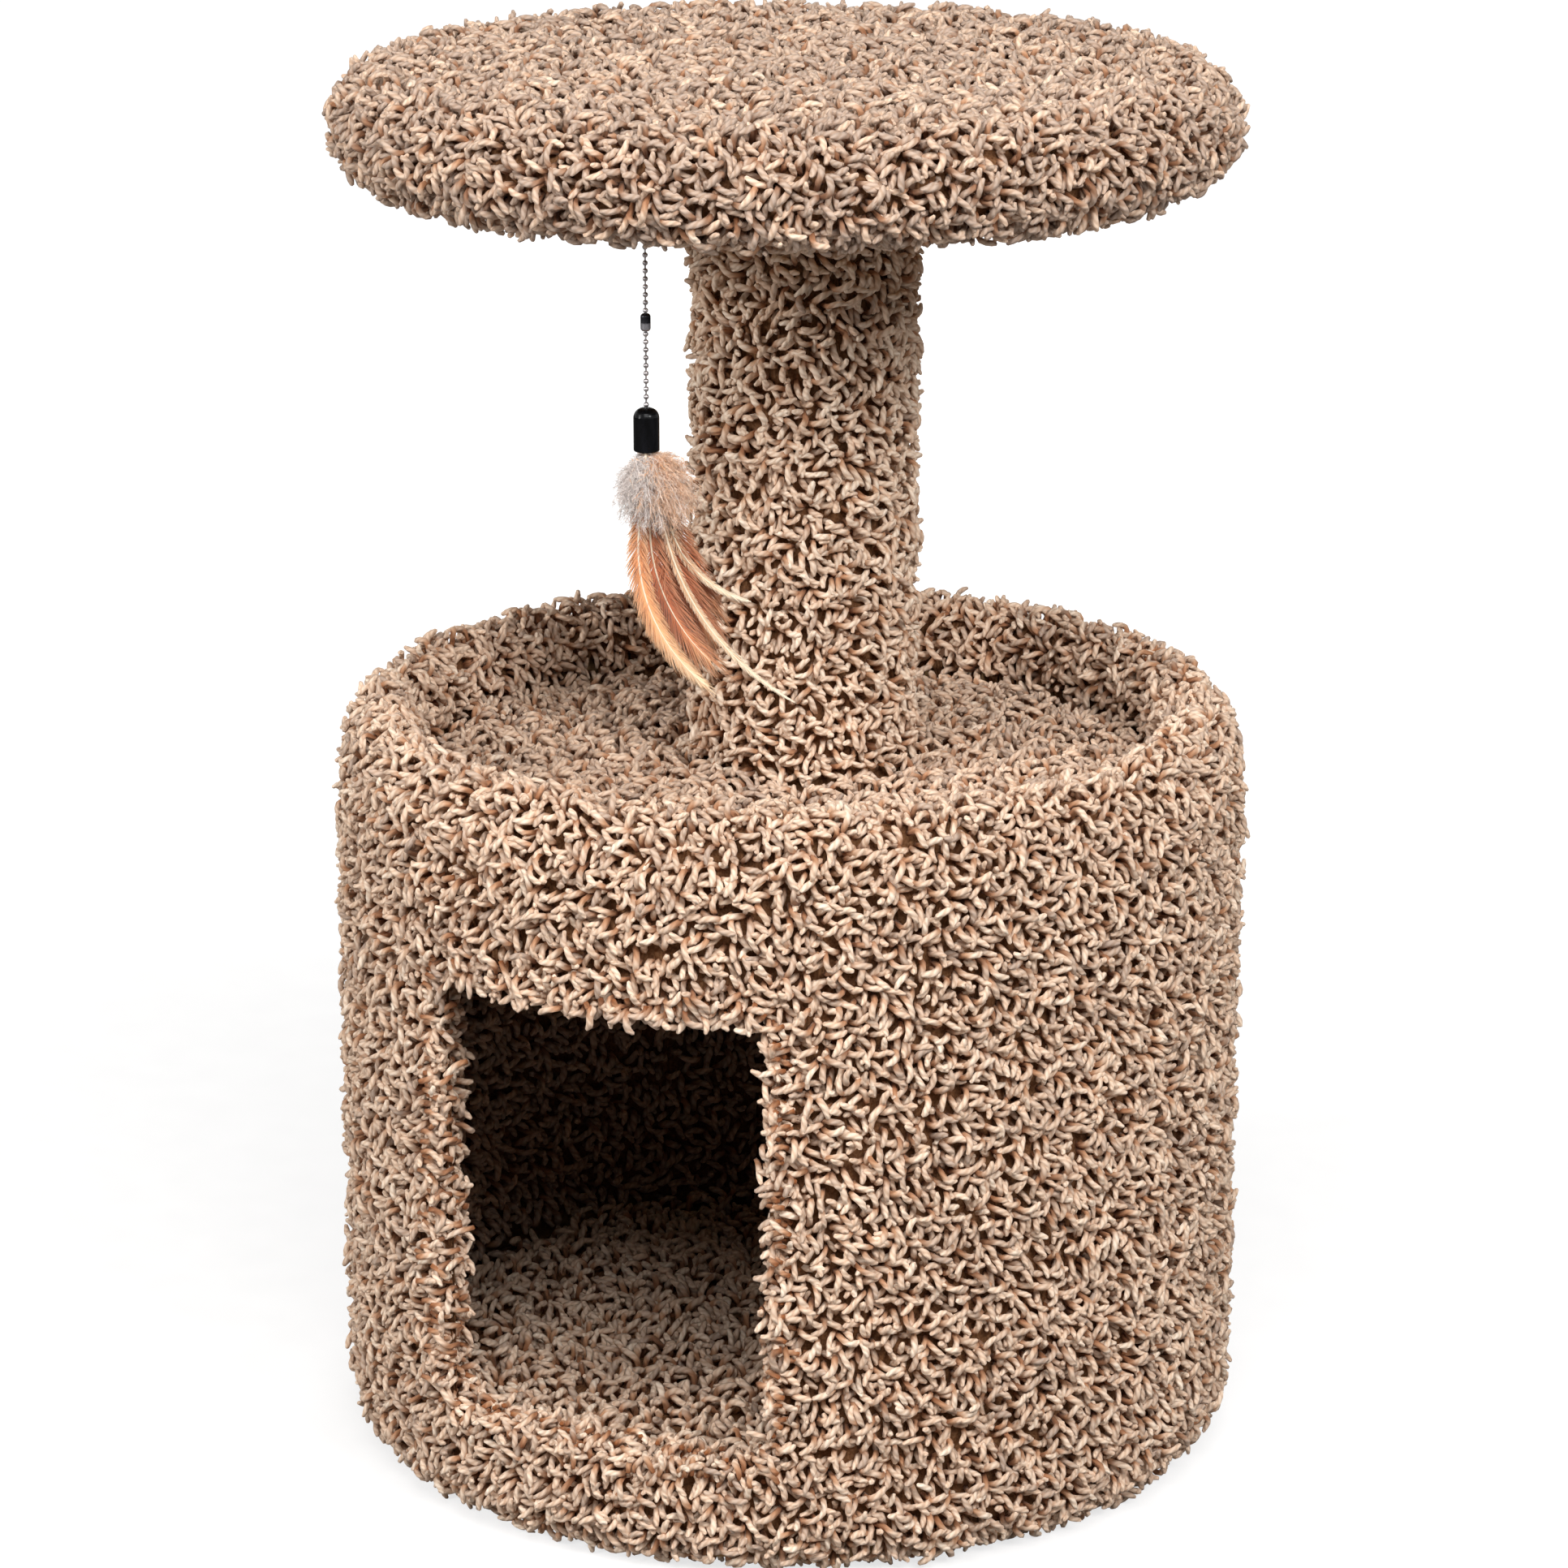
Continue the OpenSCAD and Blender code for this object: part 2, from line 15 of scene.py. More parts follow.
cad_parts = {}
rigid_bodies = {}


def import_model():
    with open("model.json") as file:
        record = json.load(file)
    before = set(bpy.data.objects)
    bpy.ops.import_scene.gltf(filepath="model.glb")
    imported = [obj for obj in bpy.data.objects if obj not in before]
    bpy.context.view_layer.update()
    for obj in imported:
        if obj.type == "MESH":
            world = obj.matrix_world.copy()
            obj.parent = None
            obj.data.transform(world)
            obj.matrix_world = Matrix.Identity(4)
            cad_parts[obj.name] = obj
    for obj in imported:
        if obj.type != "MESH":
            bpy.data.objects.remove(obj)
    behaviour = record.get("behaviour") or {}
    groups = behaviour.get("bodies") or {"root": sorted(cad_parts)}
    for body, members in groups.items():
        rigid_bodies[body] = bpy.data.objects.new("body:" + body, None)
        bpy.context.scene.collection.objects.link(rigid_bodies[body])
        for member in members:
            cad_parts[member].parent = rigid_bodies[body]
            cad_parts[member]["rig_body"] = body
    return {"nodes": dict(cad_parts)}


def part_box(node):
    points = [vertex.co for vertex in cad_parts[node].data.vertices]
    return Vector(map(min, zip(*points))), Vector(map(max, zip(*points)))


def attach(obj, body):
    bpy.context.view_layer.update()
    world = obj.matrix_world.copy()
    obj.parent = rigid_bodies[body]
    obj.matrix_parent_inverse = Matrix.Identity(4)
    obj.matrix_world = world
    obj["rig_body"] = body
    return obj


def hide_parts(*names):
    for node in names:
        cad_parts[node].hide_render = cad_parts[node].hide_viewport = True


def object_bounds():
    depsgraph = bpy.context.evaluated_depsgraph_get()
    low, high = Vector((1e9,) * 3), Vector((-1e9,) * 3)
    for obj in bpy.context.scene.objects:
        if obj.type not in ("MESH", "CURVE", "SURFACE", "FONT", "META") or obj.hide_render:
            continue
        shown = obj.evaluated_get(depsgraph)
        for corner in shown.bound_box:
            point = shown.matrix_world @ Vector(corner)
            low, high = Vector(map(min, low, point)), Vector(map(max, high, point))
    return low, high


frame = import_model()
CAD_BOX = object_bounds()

Socket = bpy.types.NodeSocket
Colour = tuple[float, float, float, float]

# Places from 0 to 1 between which one colour runs into the next, and a pattern's stretch along each axis
Stops = tuple[float, float]
Stretch = tuple[float, float, float]

LOG = logging.getLogger("cat_condo")
MM = 0.001
UP = np.array([0.0, 0.0, 1.0])
WHITE = (1.0, 1.0, 1.0, 1.0)
BLACK = (0.0, 0.0, 0.0, 1.0)

# Not quite up, so that hardly a strand runs along it, and the least length that a vector is divided by
NEAR_UP = UP + 0.1
LEAST = 1e-12

# How near another solid a surface counts as glued to it, and the least room between the pile and the floor
GLUE_REACH = 0.45 * MM
FLOOR_CLEAR = 0.25 * MM

# Points of a solid that are nearer than this are one point
JOIN_STEP = 0.01 * MM

# Twice the area below which a triangle says little about which way a surface faces
SLIVER = 2.0 * MM ** 2

# Thickness of the woven backing, and how much its corners are eased where several faces meet
BACKING_THICK = 2.0 * MM
CORNER_EASE = 0.02

# Rows and columns of map cells, one cell for each tone that strands are sorted into
TONE_ROWS = 7
CELL_MARGIN = 0.08
CAP_SHARE = 0.05

# How far the closed ends of a strand stand past its first and last ring, in radii
ROOT_ROUND = 0.3
TIP_ROUND = 0.6

# Most triangles of strands in one piece
PIECE_TRIANGLES = 190_000


def paint(code: str) -> Colour:
    """Turn a colour as it is seen into the linear values that shaders take.

    Args:
        code: six hexadecimal digits after a hash sign.

    Returns:
        Red, green, blue and an alpha of 1.
    """
    seen = [int(code[i:i + 2], 16) / 255 for i in (1, 3, 5)]
    linear = [c / 12.92 if c <= 0.04045 else ((c + 0.055) / 1.055) ** 2.4 for c in seen]
    return (*linear, 1.0)


def unit(vectors: np.ndarray) -> np.ndarray:
    """Scale vectors, along the last axis, to a length of one."""
    return vectors / np.maximum(np.linalg.norm(vectors, axis=-1, keepdims=True), LEAST)


class Graph:
    """Shader nodes of one material or world."""

    def __init__(self, owner: bpy.types.Material | bpy.types.World) -> None:
        """Start with no nodes.

        Args:
            owner: the material or world that the nodes belong to.
        """
        self.owner = owner
        owner.use_nodes = True
        self.tree = owner.node_tree
        self.tree.nodes.clear()

    @classmethod
    def material(cls, name: str) -> "Graph":
        """Start a new material, by its name."""
        return cls(bpy.data.materials.new(name))

    def add(self, kind: str, inputs: dict | None = None, **settings: str) -> bpy.types.Node:
        """Add a node.

        Args:
            kind: the node type, without its ShaderNode prefix.
            inputs: what goes into its sockets, by name or number: another socket or a value.
            settings: the node's own properties.

        Returns:
            The node.
        """
        node = self.tree.nodes.new("ShaderNode" + kind)
        for key, value in settings.items():
            setattr(node, key, value)
        for key, value in (inputs or {}).items():
            if isinstance(value, Socket):
                self.tree.links.new(value, node.inputs[key])
            else:
                node.inputs[key].default_value = value
        return node

    def math(self, operation: str, *values: Socket | float) -> Socket:
        """Add a sum, product or other step of arithmetic and return its result."""
        return self.add("Math", dict(enumerate(values)), operation=operation).outputs[0]

    def mix(
        self, share: Socket | float, a: Socket | Colour, b: Socket | Colour, blend: str = "MIX"
    ) -> Socket:
        """Mix two colours and return the result.

        Args:
            share: how much of the second colour, as a socket or a number.
            a: the first colour.
            b: the second colour.
            blend: how they mix.

        Returns:
            The socket of the mixed colour.
        """
        return self.add("Mix", {0: share, 6: a, 7: b}, data_type="RGBA", blend_type=blend).outputs[2]

    def ramp(self, share: Socket, *stops: tuple[float, Colour]) -> Socket:
        """Turn a number into a colour.

        Args:
            share: the number's socket.
            stops: places from 0 to 1, each with its colour.

        Returns:
            The socket of the colour.
        """
        node = self.add("ValToRGB", {0: share})
        elements = node.color_ramp.elements
        while len(elements) < len(stops):
            elements.new(0.5)
        for element, (place, colour) in zip(elements, stops):
            element.position = place
            element.color = colour
        return node.outputs[0]

    def fade(self, share: Socket, stops: Stops, first: Colour, second: Colour) -> Socket:
        """Run from one colour to another between two places of a number, and return the result."""
        return self.ramp(share, *zip(stops, (first, second)))

    def noise(self, place: Socket, scale: float, detail: float = 3.0) -> Socket:
        """Add a noise pattern and return its value.

        Args:
            place: the socket of the coordinates.
            scale: repeats per metre.
            detail: how many finer layers it has.

        Returns:
            The socket of the value.
        """
        inputs = {"Vector": place, "Scale": scale, "Detail": detail}
        return self.add("TexNoise", inputs).outputs[0]

    def place(self, stretch: Stretch = (1, 1, 1)) -> Socket:
        """Find the object's own coordinates in metres.

        Args:
            stretch: how much they are stretched along each axis.

        Returns:
            The socket of the coordinates.
        """
        found = self.add("TexCoord").outputs["Object"]
        if stretch == (1, 1, 1):
            return found
        return self.add("Mapping", {"Vector": found, "Scale": stretch}).outputs[0]

    def bump(self, height: Socket, depth: float, strength: float = 1.0) -> Socket:
        """Turn a height from 0 to 1 into a normal.

        Args:
            height: the socket of the height.
            depth: what a height of 1 stands for, in metres.
            strength: how much of it shows.

        Returns:
            The socket of the normal.
        """
        return self.add("Bump", {"Height": height, "Distance": depth, "Strength": strength}).outputs[0]

    def finish(self, inputs: dict) -> bpy.types.Material:
        """Close the material with one surface shader.

        Args:
            inputs: what goes into the shader's sockets.

        Returns:
            The material.
        """
        surface = self.add("BsdfPrincipled", inputs)
        self.add("OutputMaterial", {"Surface": surface.outputs[0]})
        return self.owner


class Finish(Protocol):
    """Anything that can make a material."""

    def material(self) -> bpy.types.Material:
        """Build the material and hand it back."""


@dataclass(frozen=True)
class YarnFinish:
    """Twisted carpet yarn in tufts of several tones; painted shade darkens it at the root, less towards the
    cut end.
    """

    name: str = "shag_yarn"
    dark: str = "#b9a291"
    middle: str = "#e3c6ad"
    pale: str = "#f3dfca"
    # Painted shade along each strand, darkest at its root, where the pile shades its own foot
    root: str = "#a0704b"
    painted_shade: str = "#cfb29c"
    painted_shade_at: float = 0.3
    painted_shade_clear_at: float = 0.55
    roughness: float = 0.8
    specular: float = 0.25
    sheen: float = 0.1
    sheen_roughness: float = 0.5
    sheen_tint: str = "#ffe9d6"
    twist_plies: float = 2.0
    twist_turns: float = 3.0
    twist_depth: float = 0.28 * MM
    # Painted shade in the grooves between the twisted plies
    groove_shade: str = "#e4d9cf"
    groove_share: float = 0.8
    groove_width: float = 0.6

    def material(self) -> bpy.types.Material:
        """Build the material.

        Returns:
            The material.
        """
        g = Graph.material(self.name)
        strand = g.add("SeparateXYZ", {0: g.add("UVMap", uv_map="Strand").outputs[0]})
        around, along = strand.outputs[0], strand.outputs[1]
        tone = g.add("Attribute", attribute_name="tone").outputs["Fac"]
        yarn = g.ramp(tone, (0.0, paint(self.dark)), (0.5, paint(self.middle)), (1.0, paint(self.pale)))
        painted_shade, clear = (self.painted_shade_at, paint(self.painted_shade)), (self.painted_shade_clear_at, WHITE)
        # Painted shade: each strand's colour darkens towards its root
        depth = g.ramp(along, (0.0, paint(self.root)), painted_shade, clear)
        colour = g.mix(1.0, yarn, depth, "MULTIPLY")
        turn = g.math("MULTIPLY", around, self.twist_plies * 2 * math.pi)
        rise = g.math("MULTIPLY", along, self.twist_turns * 2 * math.pi)
        ply = g.math("SINE", g.math("ADD", turn, rise))
        groove = g.math("MULTIPLY_ADD", ply, 0.5, 0.5)
        # Painted shade: the colour darkens in the grooves between the plies
        shade = g.fade(groove, (0.0, self.groove_width), paint(self.groove_shade), WHITE)
        return g.finish({
            "Base Color": g.mix(self.groove_share, colour, g.mix(1.0, colour, shade, "MULTIPLY")),
            "Roughness": self.roughness,
            "Sheen Weight": self.sheen,
            "Sheen Roughness": self.sheen_roughness,
            "Sheen Tint": paint(self.sheen_tint),
            "Specular IOR Level": self.specular,
            "Normal": g.bump(groove, self.twist_depth),
        })


@dataclass(frozen=True)
class BackingFinish:
    """Woven backing at the foot of the pile with shed fibre, painted dark brown as the shade there."""

    name: str = "carpet_backing"
    # Both browns are painted shade, as dark as the foot of the pile
    dark: str = "#5a3820"
    pale: str = "#856043"
    rows_per_metre: float = 160.0
    row_waver: float = 3.0
    fibre_scale: float = 900.0
    fibre_layers: float = 4.0
    fibre_stops: Stops = (0.3, 0.75)
    weave_depth: float = 0.6 * MM
    roughness: float = 0.95
    specular: float = 0.1

    def material(self) -> bpy.types.Material:
        """Build the material.

        Returns:
            The material.
        """
        g = Graph.material(self.name)
        place = g.place()
        fibre = g.noise(place, self.fibre_scale, self.fibre_layers)
        weave = {"Vector": place, "Scale": self.rows_per_metre, "Distortion": self.row_waver}
        height = g.math("MULTIPLY", fibre, g.add("TexWave", weave).outputs[1])
        return g.finish({
            "Base Color": g.fade(fibre, self.fibre_stops, paint(self.dark), paint(self.pale)),
            "Roughness": self.roughness,
            "Specular IOR Level": self.specular,
            "Normal": g.bump(height, self.weave_depth),
        })


@dataclass(frozen=True)
class PlywoodFinish:
    """Sanded softwood plywood with long grain, darker year lines and a few knots."""

    name: str = "plywood"
    pale: str = "#dcbf92"
    grain: str = "#b98d58"
    knot: str = "#7d5432"
    fibre_scale: float = 90.0
    fibre_layers: float = 5.0
    fibre_stretch: Stretch = (1.0, 9.0, 9.0)
    ring_scale: float = 3.0
    ring_stretch: Stretch = (1.5, 4.0, 4.0)
    ring_waves: float = 90.0
    ring_share: float = 0.25
    grain_stops: Stops = (0.25, 0.7)
    grain_depth: float = 0.25 * MM
    grain_strength: float = 0.6
    knots_per_metre: float = 6.0
    knot_stretch: Stretch = (1.0, 2.2, 2.2)
    knot_stops: Stops = (0.05, 0.14)
    roughness: float = 0.52
    roughness_spread: float = 0.2
    specular: float = 0.3

    def material(self) -> bpy.types.Material:
        """Build the material.

        Returns:
            The material.
        """
        g = Graph.material(self.name)
        place = g.place(self.fibre_stretch)
        bend = g.noise(g.place(self.ring_stretch), self.ring_scale)
        rings = g.math("SINE", g.math("MULTIPLY", bend, self.ring_waves))
        fibre = g.noise(place, self.fibre_scale, self.fibre_layers)
        line = g.math("MULTIPLY_ADD", rings, self.ring_share, fibre)
        wood = g.fade(line, self.grain_stops, paint(self.grain), paint(self.pale))
        cells = {"Vector": g.place(self.knot_stretch), "Scale": self.knots_per_metre}
        spots = g.add("TexVoronoi", cells).outputs["Distance"]
        knots = g.fade(spots, self.knot_stops, WHITE, BLACK)
        return g.finish({
            "Base Color": g.mix(knots, wood, paint(self.knot)),
            "Roughness": g.math("MULTIPLY_ADD", fibre, self.roughness_spread, self.roughness),
            "Specular IOR Level": self.specular,
            "Normal": g.bump(line, self.grain_depth, self.grain_strength),
        })


@dataclass(frozen=True)
class FibreTubeFinish:
    """Kraft paper tube wound from slanting strips."""

    name: str = "fibre_tube"
    pale: str = "#b38d61"
    dark: str = "#8a6742"
    seam: str = "#8f8378"
    strips_per_metre: float = 1.3
    strip_stretch: Stretch = (0.4, 0.4, 3.0)
    seam_width: float = 0.03
    fibre_scale: float = 350.0
    fibre_layers: float = 6.0
    fibre_stops: Stops = (0.3, 0.7)
    fibre_depth: float = 0.15 * MM
    roughness: float = 0.65
    roughness_spread: float = 0.2
    specular: float = 0.3

    def material(self) -> bpy.types.Material:
        """Build the material.

        Returns:
            The material.
        """
        g = Graph.material(self.name)
        fibre = g.noise(g.place(), self.fibre_scale, self.fibre_layers)
        slant = {"Vector": g.place(self.strip_stretch), "Scale": self.strips_per_metre}
        strips = g.add("TexWave", slant, wave_profile="SAW").outputs[1]
        paper = g.fade(fibre, self.fibre_stops, paint(self.dark), paint(self.pale))
        seam = g.fade(strips, (0.0, self.seam_width), paint(self.seam), WHITE)
        return g.finish({
            "Base Color": g.mix(1.0, paper, seam, "MULTIPLY"),
            "Roughness": g.math("MULTIPLY_ADD", fibre, self.roughness_spread, self.roughness),
            "Specular IOR Level": self.specular,
            "Normal": g.bump(fibre, self.fibre_depth),
        })


@dataclass(frozen=True)
class MetalFinish:
    """Bare or plated metal with fine scratches and a little tarnish."""

    name: str
    pale: str
    dark: str
    roughness: float
    painted_lower_reflection: str | None = None
    painted_reflection_stops: Stops = (0.42, 0.5)
    roughness_spread: float = 0.18
    scratch_scale: float = 1500.0
    scratch_stretch: Stretch = (1.0, 1.0, 0.2)
    scratch_layers: float = 4.0
    scratch_depth: float = 0.02 * MM
    scratch_strength: float = 0.5
    tarnish_scale: float = 250.0
    tarnish_stops: Stops = (0.35, 0.65)

    def material(self) -> bpy.types.Material:
        """Build the material. With a painted reflection colour, the bottom half of the piece takes it.

        Returns:
            The material.
        """
        g = Graph.material(self.name)
        scratch = g.noise(g.place(self.scratch_stretch), self.scratch_scale, self.scratch_layers)
        tarnish = g.noise(g.place(), self.tarnish_scale)
        colour = g.fade(tarnish, self.tarnish_stops, paint(self.dark), paint(self.pale))
        # Painted reflection: the bottom half of the piece turns to a pale grey
        if self.painted_lower_reflection:
            level = g.add("SeparateXYZ", {0: g.add("TexCoord").outputs["Generated"]}).outputs[2]
            below = g.fade(level, self.painted_reflection_stops, WHITE, BLACK)
            colour = g.mix(below, colour, paint(self.painted_lower_reflection))
        return g.finish({
            "Base Color": colour,
            "Metallic": 1.0,
            "Roughness": g.math("MULTIPLY_ADD", scratch, self.roughness_spread, self.roughness),
            "Normal": g.bump(scratch, self.scratch_depth, self.scratch_strength),
        })


@dataclass(frozen=True)
class CapFinish:
    """Moulded glossy plastic with a faint orange peel and rubbed patches."""

    name: str = "glossy_cap"
    colour: str = "#050506"
    rubbed: str = "#101013"
    peel_scale: float = 700.0
    peel_layers: float = 2.0
    peel_depth: float = 0.03 * MM
    peel_strength: float = 0.4
    rub_scale: float = 260.0
    rub_layers: float = 4.0
    rub_stretch: Stretch = (1.0, 1.0, 0.3)
    rub_stops: Stops = (0.45, 0.75)
    roughness: float = 0.14
    roughness_spread: float = 0.12
    specular: float = 0.12

    def material(self) -> bpy.types.Material:
        """Build the material.

        Returns:
            The material.
        """
        g = Graph.material(self.name)
        peel = g.noise(g.place(), self.peel_scale, self.peel_layers)
        rub = g.noise(g.place(self.rub_stretch), self.rub_scale, self.rub_layers)
        return g.finish({
            "Base Color": g.fade(rub, self.rub_stops, paint(self.colour), paint(self.rubbed)),
            "Roughness": g.math("MULTIPLY_ADD", rub, self.roughness_spread, self.roughness),
            "Specular IOR Level": self.specular,
            "Normal": g.bump(peel, self.peel_depth, self.peel_strength),
        })


@dataclass(frozen=True)
class GlueFinish:
    """Set hot glue, amber and a little cloudy."""

    name: str = "quill_glue"
    colour: str = "#cdb183"
    cloud: str = "#e6d6b8"
    cloud_scale: float = 600.0
    cloud_stops: Stops = (0.3, 0.7)
    cloud_depth: float = 0.1 * MM
    roughness: float = 0.25
    roughness_spread: float = 0.2

    def material(self) -> bpy.types.Material:
        """Build the material.

        Returns:
            The material.
        """
        g = Graph.material(self.name)
        cloud = g.noise(g.place(), self.cloud_scale)
        return g.finish({
            "Base Color": g.fade(cloud, self.cloud_stops, paint(self.colour), paint(self.cloud)),
            "Roughness": g.math("MULTIPLY_ADD", cloud, self.roughness_spread, self.roughness),
            "Normal": g.bump(cloud, self.cloud_depth),
        })


@dataclass(frozen=True)
class PlumeFinish:
    """Barbs of a feather or of down, whose colour runs from tone to tone and pales towards the tips."""

    name: str
    tones: tuple[str, ...]
    tip: str
    tip_share: float = 0.45
    tip_power: float = 2.0
    roughness: float = 0.55
    roughness_spread: float = 0.06
    specular: float = 0.35
    sheen: float = 0.3
    ridge_waves: float = 60.0
    ridge_depth: float = 0.02 * MM
    ridge_strength: float = 0.5

    def material(self) -> bpy.types.Material:
        """Build the material.

        Returns:
            The material.
        """
        g = Graph.material(self.name)
        strand = g.add("SeparateXYZ", {0: g.add("UVMap", uv_map="Strand").outputs[0]})
        tone = g.add("Attribute", attribute_name="tone").outputs["Fac"]
        last = len(self.tones) - 1
        body = g.ramp(tone, *((i / last, paint(code)) for i, code in enumerate(self.tones)))
        reach = g.math("MULTIPLY", g.math("POWER", strand.outputs[1], self.tip_power), self.tip_share)
        ridge = g.math("SINE", g.math("MULTIPLY", strand.outputs[1], self.ridge_waves))
        return g.finish({
            "Base Color": g.mix(reach, body, paint(self.tip)),
            "Roughness": g.math("MULTIPLY_ADD", ridge, self.roughness_spread, self.roughness),
            "Sheen Weight": self.sheen,
            "Specular IOR Level": self.specular,
            "Normal": g.bump(ridge, self.ridge_depth, self.ridge_strength),
        })


YARN = YarnFinish()
BACKING = BackingFinish()
PLYWOOD = PlywoodFinish()
FIBRE_TUBE = FibreTubeFinish()
STEEL_WIRE = MetalFinish("steel_wire", pale="#c9ccd0", dark="#a6aab0", roughness=0.28)
ZINC = MetalFinish("zinc_screw", pale="#d0cdc0", dark="#a9a69b", roughness=0.36)
CHAIN = MetalFinish("bead_chain", pale="#bdb8b8", dark="#918b8b", roughness=0.3)
# The connector's pale grey bottom half is a painted reflection on the dark metal
BLACK_NICKEL = MetalFinish(
    "black_nickel", pale="#3a3a3d", dark="#19191b", roughness=0.25, painted_lower_reflection="#9b999c")
CAP = CapFinish()
GLUE = GlueFinish()
GREY_DOWN = PlumeFinish(
    "grey_down", ("#d8cac4", "#eee1da", "#faf1e9", "#f5b87f"), tip="#fdf6ef", tip_share=0.3)
RUST = PlumeFinish(
    "rust_hackle", ("#b08f7a", "#c0744a", "#c36f46", "#a95d3b", "#ca8053", "#dba87d"), tip="#e0b088")
PEACH = PlumeFinish(
    "peach_hackle", ("#c9a88f", "#e39a66", "#e79c66", "#e8a975", "#efc296", "#f5d6b0"), tip="#f5d2a9")
CREAM = PlumeFinish(
    "cream_hackle", ("#a59385", "#d9a274", "#e4b98f", "#efd6b5", "#f3e2c8"), tip="#f6e8d2")
QUILL = PlumeFinish("quill", ("#e8d3b4", "#f2e6d0"), tip="#f7efe0", roughness=0.4)


